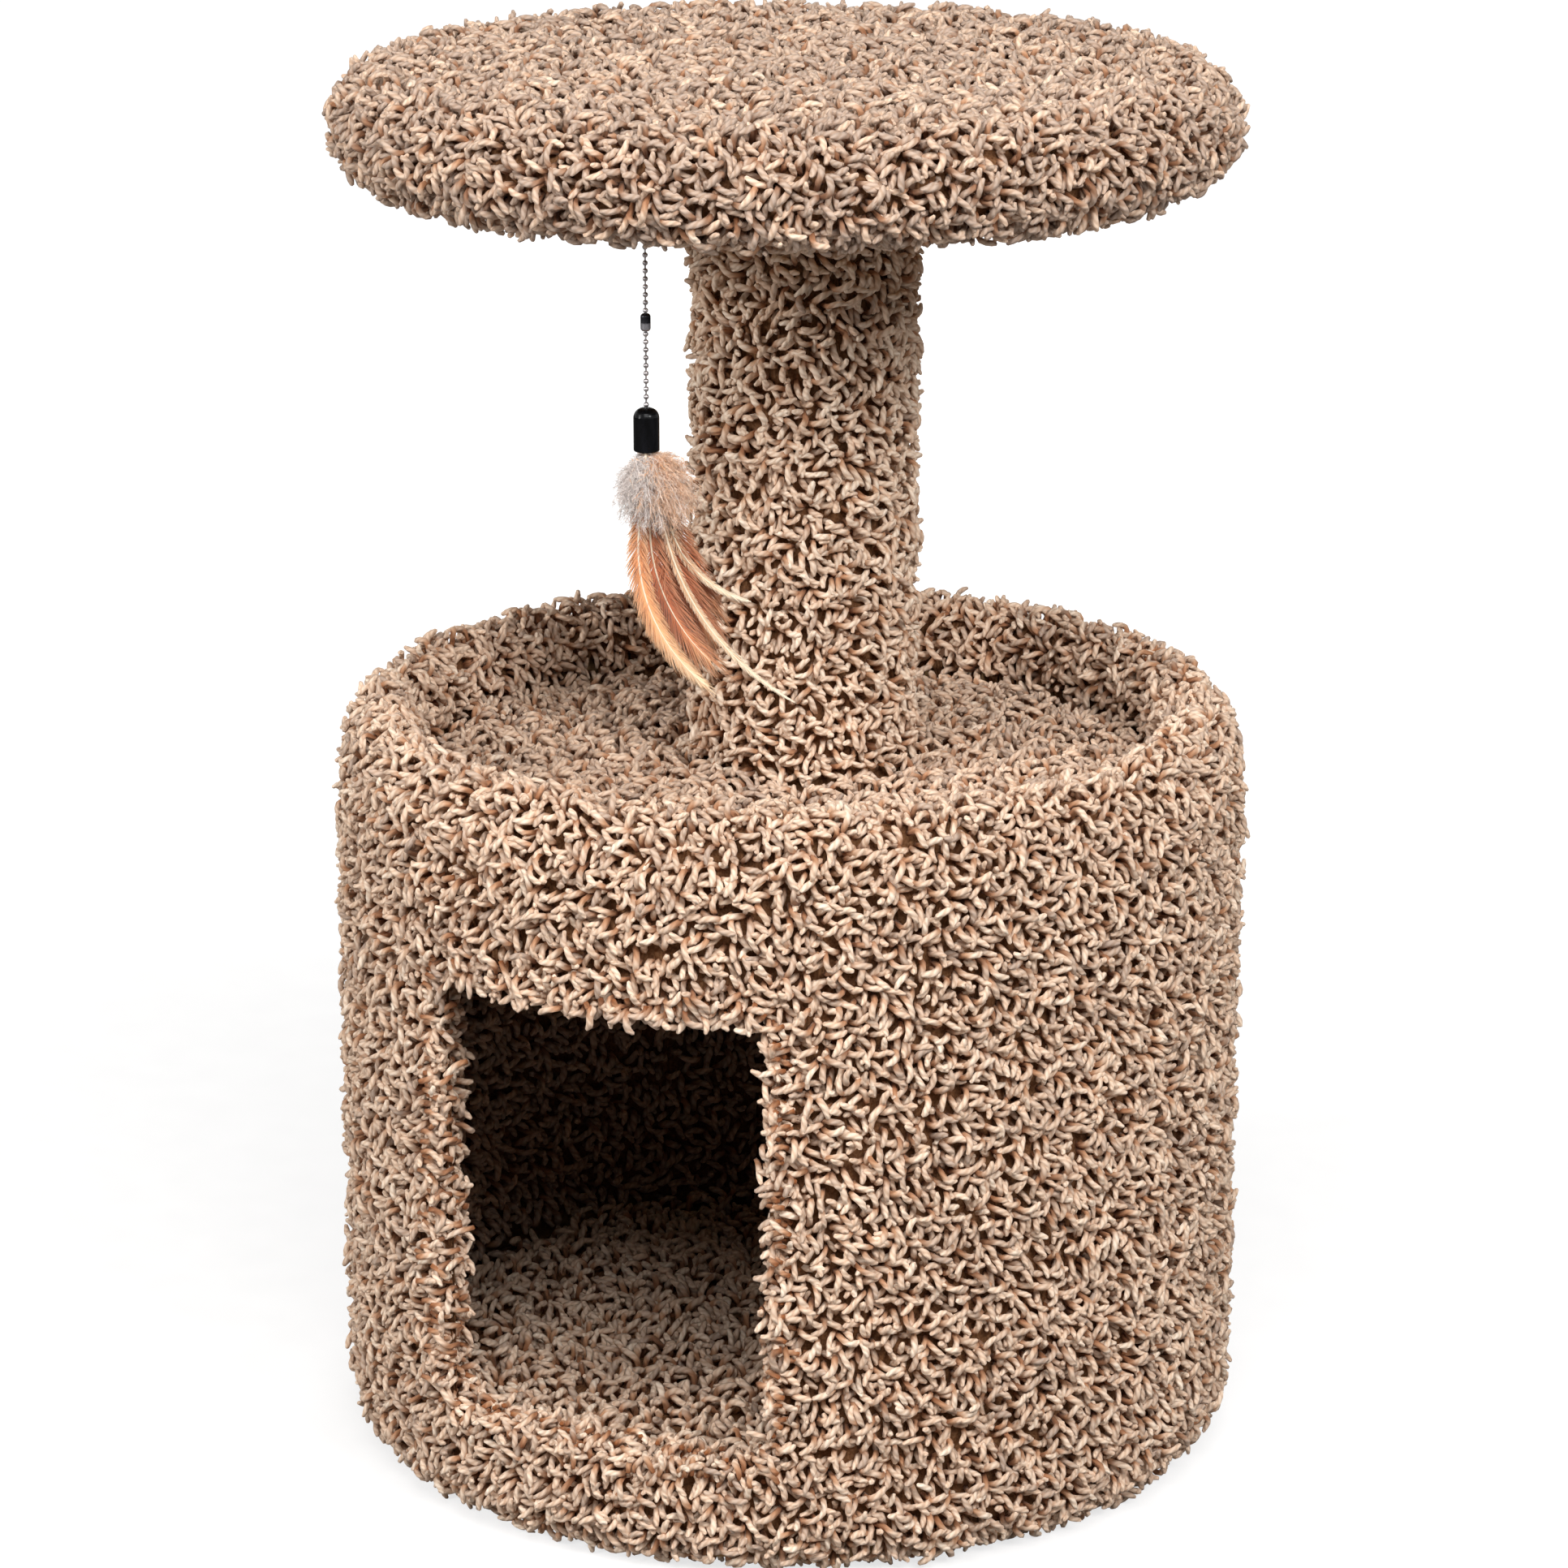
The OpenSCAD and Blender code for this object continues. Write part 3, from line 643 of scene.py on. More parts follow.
@dataclass
class Strands:
    """Many tapered strands that are built as one mesh, each closed at both ends.

    Fields: the middle lines (strands, rings, 3), the radii (strands, rings), a vector for each strand that
    its cross-section is set by (strands, 3), a tone from 0 to 1 for each strand, the sides of a strand, and
    its thickness as a share of its width.
    """

    lines: np.ndarray
    radii: np.ndarray
    across: np.ndarray
    tones: np.ndarray
    sides: int = 5
    flat: float = 1.0

    @property
    def triangles_each(self) -> int:
        """Triangles of one strand."""
        return 2 * self.sides * self.lines.shape[1]

    def part(self, picked: np.ndarray) -> "Strands":
        """Return some of the strands, by their numbers."""
        return Strands(self.lines[picked], self.radii[picked], self.across[picked], self.tones[picked],
                       self.sides, self.flat)

    def bundles(self, order: np.ndarray) -> list["Strands"]:
        """Split the strands, taken in an order, into bundles that are small enough for one piece."""
        shares = max(1, math.ceil(len(order) * self.triangles_each / PIECE_TRIANGLES))
        return [self.part(picked) for picked in np.array_split(order, shares)]

    def points(self) -> np.ndarray:
        """Work out the vertices.

        Returns:
            An array (strands, vertices, 3): the rings from root to tip, then the two end points.
        """
        ahead = unit(np.gradient(self.lines, axis=1))
        across = self.across[:, None] - (self.across[:, None] * ahead).sum(-1, keepdims=True) * ahead
        across = unit(across)
        over = np.cross(ahead, across)
        angle = np.arange(self.sides) * 2 * math.pi / self.sides
        thick = self.flat * np.sin(angle)[:, None] * over[:, :, None]
        ring = np.cos(angle)[:, None] * across[:, :, None] + thick
        rings = self.lines[:, :, None] + self.radii[:, :, None, None] * ring
        root = self.lines[:, 0] - ROOT_ROUND * self.radii[:, :1] * ahead[:, 0]
        tip = self.lines[:, -1] + TIP_ROUND * self.radii[:, -1:] * ahead[:, -1]
        flat_rings = rings.reshape(len(self.lines), -1, 3)
        return np.concatenate([flat_rings, root[:, None], tip[:, None]], axis=1)

    def pattern(self) -> tuple[np.ndarray, np.ndarray, np.ndarray]:
        """Work out the faces of one strand.

        Returns:
            The corners' vertices, the corners' places round and along the strand, and the faces' sizes.
        """
        last = self.lines.shape[1] - 1
        ends = (last + 1) * self.sides
        corners, places, sizes = [], [], []
        for r in range(last):
            for j in range(self.sides):
                k = (j + 1) % self.sides
                low, high = r * self.sides, (r + 1) * self.sides
                corners += [low + j, low + k, high + k, high + j]
                left, right = j / self.sides, (j + 1) / self.sides
                start, end = r / last, (r + 1) / last
                places += [(left, start), (right, start), (right, end), (left, end)]
                sizes.append(4)
        for j in range(self.sides):
            k = (j + 1) % self.sides
            left, right = j / self.sides, (j + 1) / self.sides
            corners += [k, j, ends]
            places += [(right, 0), (left, 0), ((left + right) / 2, -CAP_SHARE)]
            corners += [last * self.sides + j, last * self.sides + k, ends + 1]
            places += [(left, 1), (right, 1), ((left + right) / 2, 1 + CAP_SHARE)]
            sizes += [3, 3]
        return np.array(corners), np.array(places), np.array(sizes)

    def add_map(self, mesh: bpy.types.Mesh, name: str, places: np.ndarray) -> None:
        """Give a mesh a map, by its name and the places of the mesh's corners on it."""
        layer = mesh.uv_layers.new(name=name, do_init=False)
        layer.data.foreach_set("uv", places.astype(np.float32).ravel())

    def build(self, name: str, material: bpy.types.Material) -> bpy.types.Object:
        """Make the mesh.

        Args:
            name: the piece's name.
            material: its finish, which reads the map Strand and the attribute tone.

        Returns:
            The object, in the scene.
        """
        points = self.points()
        points[..., 2] = np.maximum(points[..., 2], FLOOR_CLEAR)
        corners, places, sizes = self.pattern()
        count, each = points.shape[:2]
        mesh = bpy.data.meshes.new(name)
        mesh.vertices.add(count * each)
        mesh.vertices.foreach_set("co", points.astype(np.float32).ravel())
        every = corners + each * np.arange(count)[:, None]
        mesh.loops.add(every.size)
        mesh.loops.foreach_set("vertex_index", every.astype(np.int32).ravel())
        all_sizes = np.tile(sizes, count)
        mesh.polygons.add(len(all_sizes))
        starts = np.concatenate([[0], np.cumsum(all_sizes)[:-1]])
        mesh.polygons.foreach_set("loop_start", starts.astype(np.int32))
        mesh.polygons.foreach_set("use_smooth", np.ones(len(all_sizes), bool))
        mesh.update(calc_edges=True)
        level = np.rint(np.clip(self.tones, 0, 1) * (TONE_ROWS ** 2 - 1)).astype(int)
        self.add_map(mesh, "Strand", np.tile(np.clip(places, 0, 1), (count, 1)))
        inner = np.stack([places[:, 0], (places[:, 1] + CAP_SHARE) / (1 + 2 * CAP_SHARE)], axis=1)
        inner = CELL_MARGIN + inner * (1 - 2 * CELL_MARGIN)
        cell = np.stack([level % TONE_ROWS, level // TONE_ROWS], axis=1)
        self.add_map(mesh, "OFBake", (cell[:, None] + inner[None]) / TONE_ROWS)
        tone = np.repeat(level / (TONE_ROWS ** 2 - 1), each)
        mesh.attributes.new("tone", "FLOAT", "POINT").data.foreach_set("value", tone.astype(np.float32))
        mesh.materials.append(material)
        made = bpy.data.objects.new(name, mesh)
        bpy.context.scene.collection.objects.link(made)
        return made


class Lay(Enum):
    """How the pile of a carpet lies."""

    STANDING = "standing"
    SHELTERED = "sheltered"
    CRUSHED = "crushed"


class Held(Enum):
    """What keeps a cut of carpet in place."""

    STRETCHED = "stretched"
    LAID = "laid"


@dataclass(frozen=True)
class Pile:
    """Sizes of the yarn tufts for one lay of the pile, in metres and degrees.

    A tuft bends over along the share of its length called rise, and curls past the share called straight.
    Its profile gives places along it and the shares of its radius there.
    """

    spacing: float
    length: tuple[float, float]
    bend: tuple[float, float]
    radius: tuple[float, float]
    proud: tuple[float, float]
    backing_depth: float
    droop: float = 0.35
    curl: tuple[float, float] = (15, 115)
    rise: float = 0.6
    bend_power: float = 1.2
    straight: float = 0.2
    evened: float = 0.7
    uneven: float = 0.22
    tone_spread: float = 0.22
    rings: int = 6
    profile: tuple[tuple[float, ...], tuple[float, ...]] = ((0, 0.3, 0.8, 1), (0.8, 1.0, 1.0, 0.62))


PILES = {
    Lay.STANDING: Pile(
        spacing=3.4 * MM,
        length=(10 * MM, 14.5 * MM),
        bend=(25, 105),
        radius=(1.35 * MM, 1.7 * MM),
        proud=(-4.5 * MM, 2.8 * MM),
        backing_depth=7.5 * MM,
    ),
    Lay.SHELTERED: Pile(
        spacing=4.3 * MM,
        length=(10 * MM, 15 * MM),
        bend=(25, 105),
        radius=(1.5 * MM, 2.0 * MM),
        proud=(-5 * MM, 2 * MM),
        backing_depth=8 * MM,
    ),
    Lay.CRUSHED: Pile(
        spacing=4.6 * MM,
        length=(8 * MM, 12 * MM),
        bend=(110, 170),
        radius=(1.3 * MM, 1.6 * MM),
        proud=(-1.5 * MM, -0.4 * MM),
        backing_depth=3 * MM,
    ),
}


def surface_of(node: str) -> tuple[np.ndarray, np.ndarray]:
    """Read the surface of a CAD node.

    Args:
        node: the node's name.

    Returns:
        Its points, with doubled ones joined, and its triangles.
    """
    mesh = frame["nodes"][node].data
    mesh.calc_loop_triangles()
    points = np.empty(len(mesh.vertices) * 3, np.float32)
    mesh.vertices.foreach_get("co", points)
    corners = np.empty(len(mesh.loop_triangles) * 3, np.int32)
    mesh.loop_triangles.foreach_get("vertices", corners)
    points = points.reshape(-1, 3).astype(float)
    steps = np.rint(points / JOIN_STEP)
    _, first, joined = np.unique(steps, axis=0, return_index=True, return_inverse=True)
    return points[first], joined.ravel()[corners].reshape(-1, 3)


def thinned(places: np.ndarray, spacing: float) -> np.ndarray:
    """Pick places that keep apart.

    Args:
        places: points in random order.
        spacing: the least distance between two that are kept.

    Returns:
        The numbers of the kept points.
    """
    tree = KDTree(len(places))
    for i, place in enumerate(places):
        tree.insert(place, i)
    tree.balance()
    free = np.ones(len(places), bool)
    kept = []
    for i, place in enumerate(places):
        if free[i]:
            kept.append(i)
            free[[found[1] for found in tree.find_range(place, spacing)]] = False
    return np.array(kept)


@dataclass
class Carpet:
    """One cut of shag carpet, glued to the piece that carries it: its backing and its tufts.

    Fields: the CAD node and the one that carries it, the size and area of the flat cut, what holds it, how
    its pile lies, the seed of its tufts, their mean tone (on some cuts set paler or darker as painted light
    and shade), how far faces that don't look outwards are worn down, the piece that swings beside it, the
    room that the pile leaves round the top of that piece, and how many places are tried for each tuft.
    """

    node: str
    carrier: str
    flat: tuple[float, float]
    area: float
    held: Held = Held.STRETCHED
    lay: Lay = Lay.STANDING
    seed: int = 1
    tone: float = 0.5
    worn: float = 0.0
    parted_by: str = ""
    parting: float = 10 * MM
    crowded: int = 7
    pieces: list[bpy.types.Object] = field(default_factory=list)

    def others(self) -> BVHTree:
        """Gather every other fixed solid.

        Returns:
            A search tree of their triangles.
        """
        points, triangles, start = [], [], 0
        for name, shape in frame["nodes"].items():
            if name != self.node and shape["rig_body"] == "root":
                more, faces = surface_of(name)
                points.append(more)
                triangles.append(faces + start)
                start += len(more)
        return BVHTree.FromPolygons(np.concatenate(points).tolist(), np.concatenate(triangles).tolist())

    def bare(self, tree: BVHTree, places: np.ndarray) -> np.ndarray:
        """Say which places are clear of every other solid.

        Args:
            tree: the search tree of the other solids.
            places: points on the carpet.

        Returns:
            True for each place on the pile side.
        """
        return np.array([tree.find_nearest(p, GLUE_REACH)[0] is None for p in places.tolist()])

    def backing(
        self, points: np.ndarray, triangles: np.ndarray, tree: BVHTree, cloth: bpy.types.Material
    ) -> bpy.types.Object:
        """Build the woven backing under the pile.

        Args:
            points: the carpet solid's points.
            triangles: its triangles.
            tree: the search tree of the other solids.
            cloth: the backing's material.

        Returns:
            The backing.
        """
        open_faces = triangles[self.bare(tree, points[triangles].mean(axis=1))]
        a, b, c = points[open_faces].transpose(1, 0, 2)
        facing = np.cross(b - a, c - a)
        weight = np.minimum(np.linalg.norm(facing, axis=1) / SLIVER, 1)[:, None]
        facing = unit(facing)
        pull = np.zeros_like(points)
        spread = np.zeros((len(points), 3, 3)) + CORNER_EASE * np.eye(3)
        for corner in range(3):
            np.add.at(pull, open_faces[:, corner], weight * facing)
            np.add.at(spread, open_faces[:, corner], (weight * facing)[:, :, None] * facing[:, None])
        used, faces = np.unique(open_faces, return_inverse=True)
        sink = np.linalg.solve(spread[used], pull[used][..., None])[..., 0]
        sunk = points[used] - PILES[self.lay].backing_depth * sink
        sunk[:, 2] = np.maximum(sunk[:, 2], FLOOR_CLEAR)
        mesh = bpy.data.meshes.new(self.node + "_backing")
        mesh.from_pydata(sunk.tolist(), [], faces.reshape(-1, 3).tolist())
        mesh.materials.append(cloth)
        made = bpy.data.objects.new(self.node + "_backing", mesh)
        bpy.context.scene.collection.objects.link(made)
        made.modifiers.new("cloth", "SOLIDIFY").thickness = BACKING_THICK
        return made

    def tufts(self, points: np.ndarray, triangles: np.ndarray, tree: BVHTree) -> Strands:
        """Plant the yarn.

        Args:
            points: the carpet solid's points.
            triangles: its triangles.
            tree: the search tree of the other solids.

        Returns:
            The tufts.
        """
        pile = PILES[self.lay]
        rng = np.random.default_rng(self.seed)
        a, b, c = points[triangles].transpose(1, 0, 2)
        facing = np.cross(b - a, c - a)
        area = np.linalg.norm(facing, axis=1) / 2
        count = int(area.sum() / pile.spacing ** 2 * self.crowded)
        picked = rng.choice(len(area), count, p=area / area.sum())
        u, v = np.sqrt(rng.random(count))[:, None], rng.random(count)[:, None]
        places = (1 - u) * a[picked] + u * (1 - v) * b[picked] + u * v * c[picked]
        clear = self.bare(tree, places)
        places, normals = places[clear], unit(facing[picked[clear]])
        kept = thinned(places, pile.spacing)
        return self.parted(self.grown(places[kept], normals[kept], pile, rng))

    def parted(self, tufts: Strands) -> Strands:
        """Leave out the tufts that would touch the top of what swings beside them.

        Args:
            tufts: the tufts of the whole carpet.

        Returns:
            The tufts that stay.
        """
        if not self.parted_by:
            return tufts
        low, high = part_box(self.parted_by)
        top = np.array([(low.x + high.x) / 2, (low.y + high.y) / 2, high.z])
        gap = np.linalg.norm(tufts.lines - top, axis=2).min(axis=1)
        return tufts.part(np.flatnonzero(gap > self.parting))

    def grown(
        self, places: np.ndarray, normals: np.ndarray, pile: Pile, rng: np.random.Generator
    ) -> Strands:
        """Let a tuft rise at each place, lean over and curl.

        Args:
            places: where the tufts stand on the carpet's outer surface.
            normals: which way they point.
            pile: the sizes of the tufts.
            rng: the source of chance.

        Returns:
            The tufts.
        """
        count = len(places)
        normals = unit(normals + pile.uneven * rng.normal(size=(count, 3)))
        lean = rng.normal(size=(count, 3)) - pile.droop * rng.random((count, 1)) * 2 * UP
        lean = unit(lean - (lean * normals).sum(1, keepdims=True) * normals)
        side = np.cross(normals, lean)
        length = rng.uniform(*pile.length, count)
        bend = np.radians(rng.uniform(*pile.bend, count))
        curl = np.radians(rng.uniform(*pile.curl, count) * rng.choice([-1, 1], count))
        steps = (np.arange(pile.rings - 1) + 0.5) / (pile.rings - 1)
        polar = bend[:, None] * np.minimum(steps / pile.rise, 1) ** pile.bend_power
        swing = curl[:, None] * (steps - pile.straight)
        ahead = np.cos(polar)[..., None] * normals[:, None] + np.sin(polar)[..., None] * (
            np.cos(swing)[..., None] * lean[:, None] + np.sin(swing)[..., None] * side[:, None])
        line = np.cumsum(ahead * (length / (pile.rings - 1))[:, None, None], axis=1)
        line = np.concatenate([np.zeros((count, 1, 3)), line], axis=1)
        rise = (line * normals[:, None]).sum(-1)
        aside = pile.evened * (line - rise[..., None] * normals[:, None]).mean(axis=1)
        outward = unit(places * [1, 1, 0])
        edge = 1 - np.abs((outward * normals).sum(1))
        depth = rise.max(1) - rng.uniform(*pile.proud, count) + self.worn * edge
        line += (places - aside - depth[:, None] * normals)[:, None]
        line[:, 0] -= np.maximum(pile.backing_depth - depth, 0)[:, None] * normals
        thick = rng.uniform(*pile.radius, count)[:, None]
        radii = thick * np.interp(np.linspace(0, 1, pile.rings), *pile.profile)
        tones = np.clip(rng.normal(self.tone, pile.tone_spread, count), 0, 1)
        return Strands(line, radii, side, tones)

    def build(self, yarn: bpy.types.Material, cloth: bpy.types.Material) -> None:
        """Make the backing and the pile and put them in the place of the CAD solid.

        Args:
            yarn: the material of the tufts.
            cloth: the material of the backing.
        """
        points, triangles = surface_of(self.node)
        tree = self.others()
        backing = self.backing(points, triangles, tree, cloth)
        tufts = self.tufts(points, triangles, tree)
        middle = tufts.lines[:, 0]
        order = np.argsort(np.arctan2(middle[:, 1], middle[:, 0]), kind="stable")
        for i, bundle in enumerate(tufts.bundles(order), start=1):
            pile = bundle.build(f"{self.node}_pile_{i}", yarn)
            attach(pile, "root")
            self.pieces.append(pile)
        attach(backing, "root")
        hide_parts(self.node)
        LOG.info("%s: %d tufts in %d pieces", self.node, len(order), len(self.pieces))


@dataclass
class Fixed:
    """CAD nodes whose shape is right and that only need their finish."""

    finish: Finish
    nodes: tuple[str, ...]

    def dress(self) -> None:
        """Give every node the finish."""
        material = self.finish.material()
        for name in self.nodes:
            mesh = frame["nodes"][name].data
            mesh.materials.clear()
            mesh.materials.append(material)
            LOG.info("%s: %s", name, material.name)


@dataclass(frozen=True)
class Barbs:
    """Barbs of a feather: metres, degrees, and shares of the shaft's or of their own length.

    The slant and the looseness are given as places along the shaft and the values there.
    """

    start: float = -0.22
    end: float = 0.985
    step: float = 0.36 * MM
    radius: float = 0.26 * MM
    longest: float = 22 * MM
    flat: float = 0.35
    profile: tuple[float, ...] = (0.8, 1.0, 0.95, 0.7, 0.25)
    outline_from: float = 0.2
    outline_power: float = 0.7
    slant: tuple[tuple[float, ...], tuple[float, ...]] = ((-0.2, 0.3, 1), (50, 32, 14))
    slant_spread: float = 4.0
    loose: tuple[tuple[float, ...], tuple[float, ...]] = ((-0.1, 0.25, 0.45), (1.0, 0.4, 0.12))
    loose_spread: float = 0.5
    stray: float = 0.05
    sweep: float = 0.22
    uneven: tuple[float, float] = (0.9, 1.06)
    tone_spread: float = 0.07
    sides: int = 4


@dataclass(frozen=True)
class Down:
    """Soft down round the quills and the hairs on it: metres, and shares of a strand's length or reach."""

    strands: int = 1100
    half: tuple[float, float] = (20 * MM, 18.5 * MM)
    shift: float = 4.5 * MM
    reach: tuple[float, float] = (0.6, 1.06)
    radius: float = 0.17 * MM
    taper: float = 0.35
    rings: int = 7
    drop: float = 0.45
    root_spread: float = 0.6
    bow: float = 0.3
    bow_spread: float = 0.6
    bow_lift: float = 0.5
    warm_blend: float = 0.25
    warm_tones: tuple[float, float] = (0.8, 1.0)
    cool_tones: tuple[float, float] = (0.0, 0.66)
    hairs: int = 9
    hair_span: tuple[float, float] = (0.12, 0.98)
    hair_mm: tuple[float, float] = (1.8, 4.2)
    hair_radius: float = 0.1 * MM
    hair_profile: tuple[float, float, float] = (1.0, 0.8, 0.35)
    hair_ahead: float = 0.9
    hair_aside: float = 1.1
    hair_sag: float = 0.2
    tone_spread: float = 0.06
    sides: int = 3


@dataclass
class Toy:
    """Feather toy: down and hackles under the cap. Sizes in metres, turns in degrees.

    The shares give each feather's length, droop, width and lean as parts of the sizes above them.
    """

    body: str = "feather_toy"
    droop_az: float = 26.0
    droop_turn: float = 61.0
    quill_lean: float = 18.0
    quill_len: float = 38 * MM
    feather_len: float = 88 * MM
    feather_w: float = 17 * MM
    quill_r: float = 0.55 * MM
    quill_sides: int = 8
    quill_tone: float = 0.5
    layer_r: float = 3.45 * MM
    layer_spread: float = 1.2
    shaft_points: int = 24
    stem_points: int = 6
    shaft_taper: float = 0.85
    length_shares: tuple[float, ...] = (0.9, 1.14, 0.75, 0.58, 0.64, 0.85, 0.48)
    turn_shares: tuple[float, ...] = (0.95, 0.80, 0.74, 1, 0.36, 0.74, 0.13)
    width_shares: tuple[float, ...] = (0.62, 0.22, 1, 0.24, 1, 0.24, 0.94)
    lean_shares: tuple[float, ...] = (-0.3, 0.67, 0.1, 0.89, 0.67, 0.50, 1)
    barbs: Barbs = Barbs()
    fluff: Down = Down()
    seed: int = 71
    mouth: np.ndarray = field(init=False)
    reach: np.ndarray = field(init=False)
    layer: np.ndarray = field(init=False)
    rng: np.random.Generator = field(init=False)

    def __post_init__(self) -> None:
        """Find the toy's axis and the end of its cap on the frame."""
        low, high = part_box("quill_plug")
        self.mouth = np.array([(low.x + high.x) / 2, (low.y + high.y) / 2, low.z])
        angle = math.radians(self.droop_az)
        self.reach = np.array([math.cos(angle), math.sin(angle), 0.0])
        self.layer = np.array([-math.sin(angle), math.cos(angle), 0.0])
        self.rng = np.random.default_rng(self.seed)

    def shaft(self, i: int, u: np.ndarray) -> tuple[np.ndarray, np.ndarray, np.ndarray]:
        """Follow a feather's shaft past its straight quill.

        Args:
            i: the feather's number, from 0.
            u: places along the shaft, from 0 to 1, or less than 0 on the straight quill.

        Returns:
            The points, the directions towards the tip, and the directions across the vane.
        """
        lean = math.radians(self.quill_lean * self.lean_shares[i])
        turn = math.radians(self.droop_turn * self.turn_shares[i])
        length = self.feather_len * self.length_shares[i]
        straight, bent = np.minimum(u, 0)[:, None], np.maximum(u, 0)[:, None]
        a = lean + turn * bent
        stem = math.sin(lean) * self.reach - math.cos(lean) * UP
        arc = (math.cos(lean) - np.cos(a)) * self.reach - (np.sin(a) - math.sin(lean)) * UP
        offset = self.layer_r * (2 * i / (len(self.length_shares) - 1) - 1)
        points = (self.mouth + (self.quill_len + length * straight) * stem + length / turn * arc
                  + offset * (1 + self.layer_spread * bent ** 2) * self.layer)
        ahead = np.sin(a) * self.reach - np.cos(a) * UP
        across = np.cos(a) * self.reach + np.sin(a) * UP
        return points, ahead, across

    def quill(self, i: int) -> Strands:
        """Follow a feather's quill and shaft as one strand.

        Args:
            i: the feather's number, from 0.

        Returns:
            The strand.
        """
        u = np.linspace(0, 1, self.shaft_points)
        vane, _, _ = self.shaft(i, u)
        whole = self.quill_len / (self.feather_len * self.length_shares[i])
        stem, _, _ = self.shaft(i, np.linspace(-whole, 0, self.stem_points)[:-1])
        line = np.concatenate([stem, vane])
        radii = np.concatenate([np.full(len(stem), self.quill_r), self.quill_r * (1 - self.shaft_taper * u)])
        tones = np.array([self.quill_tone])
        return Strands(line[None], radii[None], self.layer[None], tones, self.quill_sides)

    def vane(self, i: int) -> Strands:
        """Lay the barbs on both sides of a feather's shaft.

        Args:
            i: the feather's number, from 0.

        Returns:
            The barbs.
        """
        rng, barbs = self.rng, self.barbs
        count = int((1 - barbs.start) * self.feather_len * self.length_shares[i] / barbs.step)
        total = 2 * count
        u = np.repeat(np.linspace(barbs.start, barbs.end, count), 2)
        side = np.tile([1.0, -1.0], count)[:, None]
        points, ahead, across = self.shaft(i, u)
        share = (u - barbs.start) / (1 - barbs.start)
        outline = np.clip(share * (1 - barbs.outline_from) + barbs.outline_from, 0, 1)
        half = self.feather_w * self.width_shares[i] / 2 * np.sin(np.pi * outline) ** barbs.outline_power
        slant = np.radians(np.interp(u, *barbs.slant) + rng.normal(0, barbs.slant_spread, total))
        loose = np.interp(u, *barbs.loose)[:, None]
        length = np.minimum(half / np.sin(slant), barbs.longest) * rng.uniform(*barbs.uneven, total)
        steps = np.linspace(0, 1, len(barbs.profile))
        outward = side * across * np.sin(slant)[:, None] + ahead * np.cos(slant)[:, None]
        stray = loose * rng.normal(0, barbs.loose_spread, (total, 1)) * self.layer
        stray = stray + barbs.stray * rng.normal(size=(total, 3))
        bent = (steps ** 2)[:, None] * (stray + barbs.sweep * ahead)[:, None]
        line = points[:, None] + length[:, None, None] * (steps[:, None] * outward[:, None] + bent)
        radii = np.tile(barbs.radius * np.array(barbs.profile), (total, 1))
        tones = np.clip(share + rng.normal(0, barbs.tone_spread, total), 0, 1)
        return Strands(line, radii, ahead, tones, barbs.sides, barbs.flat)

    def down(self) -> tuple[Strands, Strands]:
        """Spread the soft down round the quills.

        Returns:
            Its strands, and the hairs on them.
        """
        rng, fluff = self.rng, self.fluff
        _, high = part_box("toy_fluff")
        count, steps = fluff.strands, np.linspace(0, 1, fluff.rings)[:, None]
        wide, tall = fluff.half
        toward = unit(rng.normal(size=(count, 3)))
        reach = rng.uniform(*fluff.reach, (count, 1)) * toward * [wide, wide, tall]
        middle = np.array([self.mouth[0], self.mouth[1], high.z - tall]) + fluff.shift * self.reach
        end = middle + reach
        rise = np.clip(high.z - end[:, 2], 0, None)
        drop = fluff.drop * rise * rng.random(count)
        start = np.array([self.mouth[0], self.mouth[1], high.z]) - drop[:, None] * UP
        start += fluff.root_spread * self.layer_r * rng.normal(size=(count, 3)) * [1, 1, 0]
        span = np.linalg.norm(end - start, axis=1)[:, None]
        bow = fluff.bow * span * (rng.normal(0, fluff.bow_spread, (count, 3)) + fluff.bow_lift * UP)
        line = start[:, None] + steps * (end - start)[:, None] + (steps * (1 - steps)) * bow[:, None]
        radii = np.tile(fluff.radius * np.linspace(1, fluff.taper, fluff.rings), (count, 1))
        warm = toward @ self.reach > fluff.warm_blend * rng.normal(size=count)
        tones = np.where(warm, rng.uniform(*fluff.warm_tones, count), rng.uniform(*fluff.cool_tones, count))
        strands = Strands(line, radii, np.cross(end - start, UP), tones, fluff.sides)
        return strands, self.hairs(strands)

    def hairs(self, strands: Strands) -> Strands:
        """Set fine hairs on both sides of some strands.

        Args:
            strands: what they stand on.

        Returns:
            The hairs.
        """
        rng, fluff = self.rng, self.fluff
        count, rings = strands.lines.shape[:2]
        each = fluff.hairs * 2
        at = rng.uniform(*fluff.hair_span, (count, each)) * (rings - 1)
        low = np.minimum(at.astype(int), rings - 2)
        row = np.arange(count)[:, None]
        first, second = strands.lines[row, low], strands.lines[row, low + 1]
        root = first + (at - low)[..., None] * (second - first)
        ahead = unit(second - first)
        out = unit(fluff.hair_ahead * ahead + fluff.hair_aside * unit(rng.normal(size=(count, each, 3))))
        length = rng.uniform(*fluff.hair_mm, (count, each, 1)) * MM
        line = root[:, :, None] + np.linspace(0, 1, 3)[:, None] * (length * out)[:, :, None]
        line[:, :, 2] -= fluff.hair_sag * length * UP
        total = count * each
        radii = np.tile(fluff.hair_radius * np.array(fluff.hair_profile), (total, 1))
        tones = np.clip(np.repeat(strands.tones, each) + rng.normal(0, fluff.tone_spread, total), 0, 1)
        across = np.cross(out, NEAR_UP).reshape(total, 3)
        return Strands(line.reshape(total, 3, 3), radii, across, tones, fluff.sides)

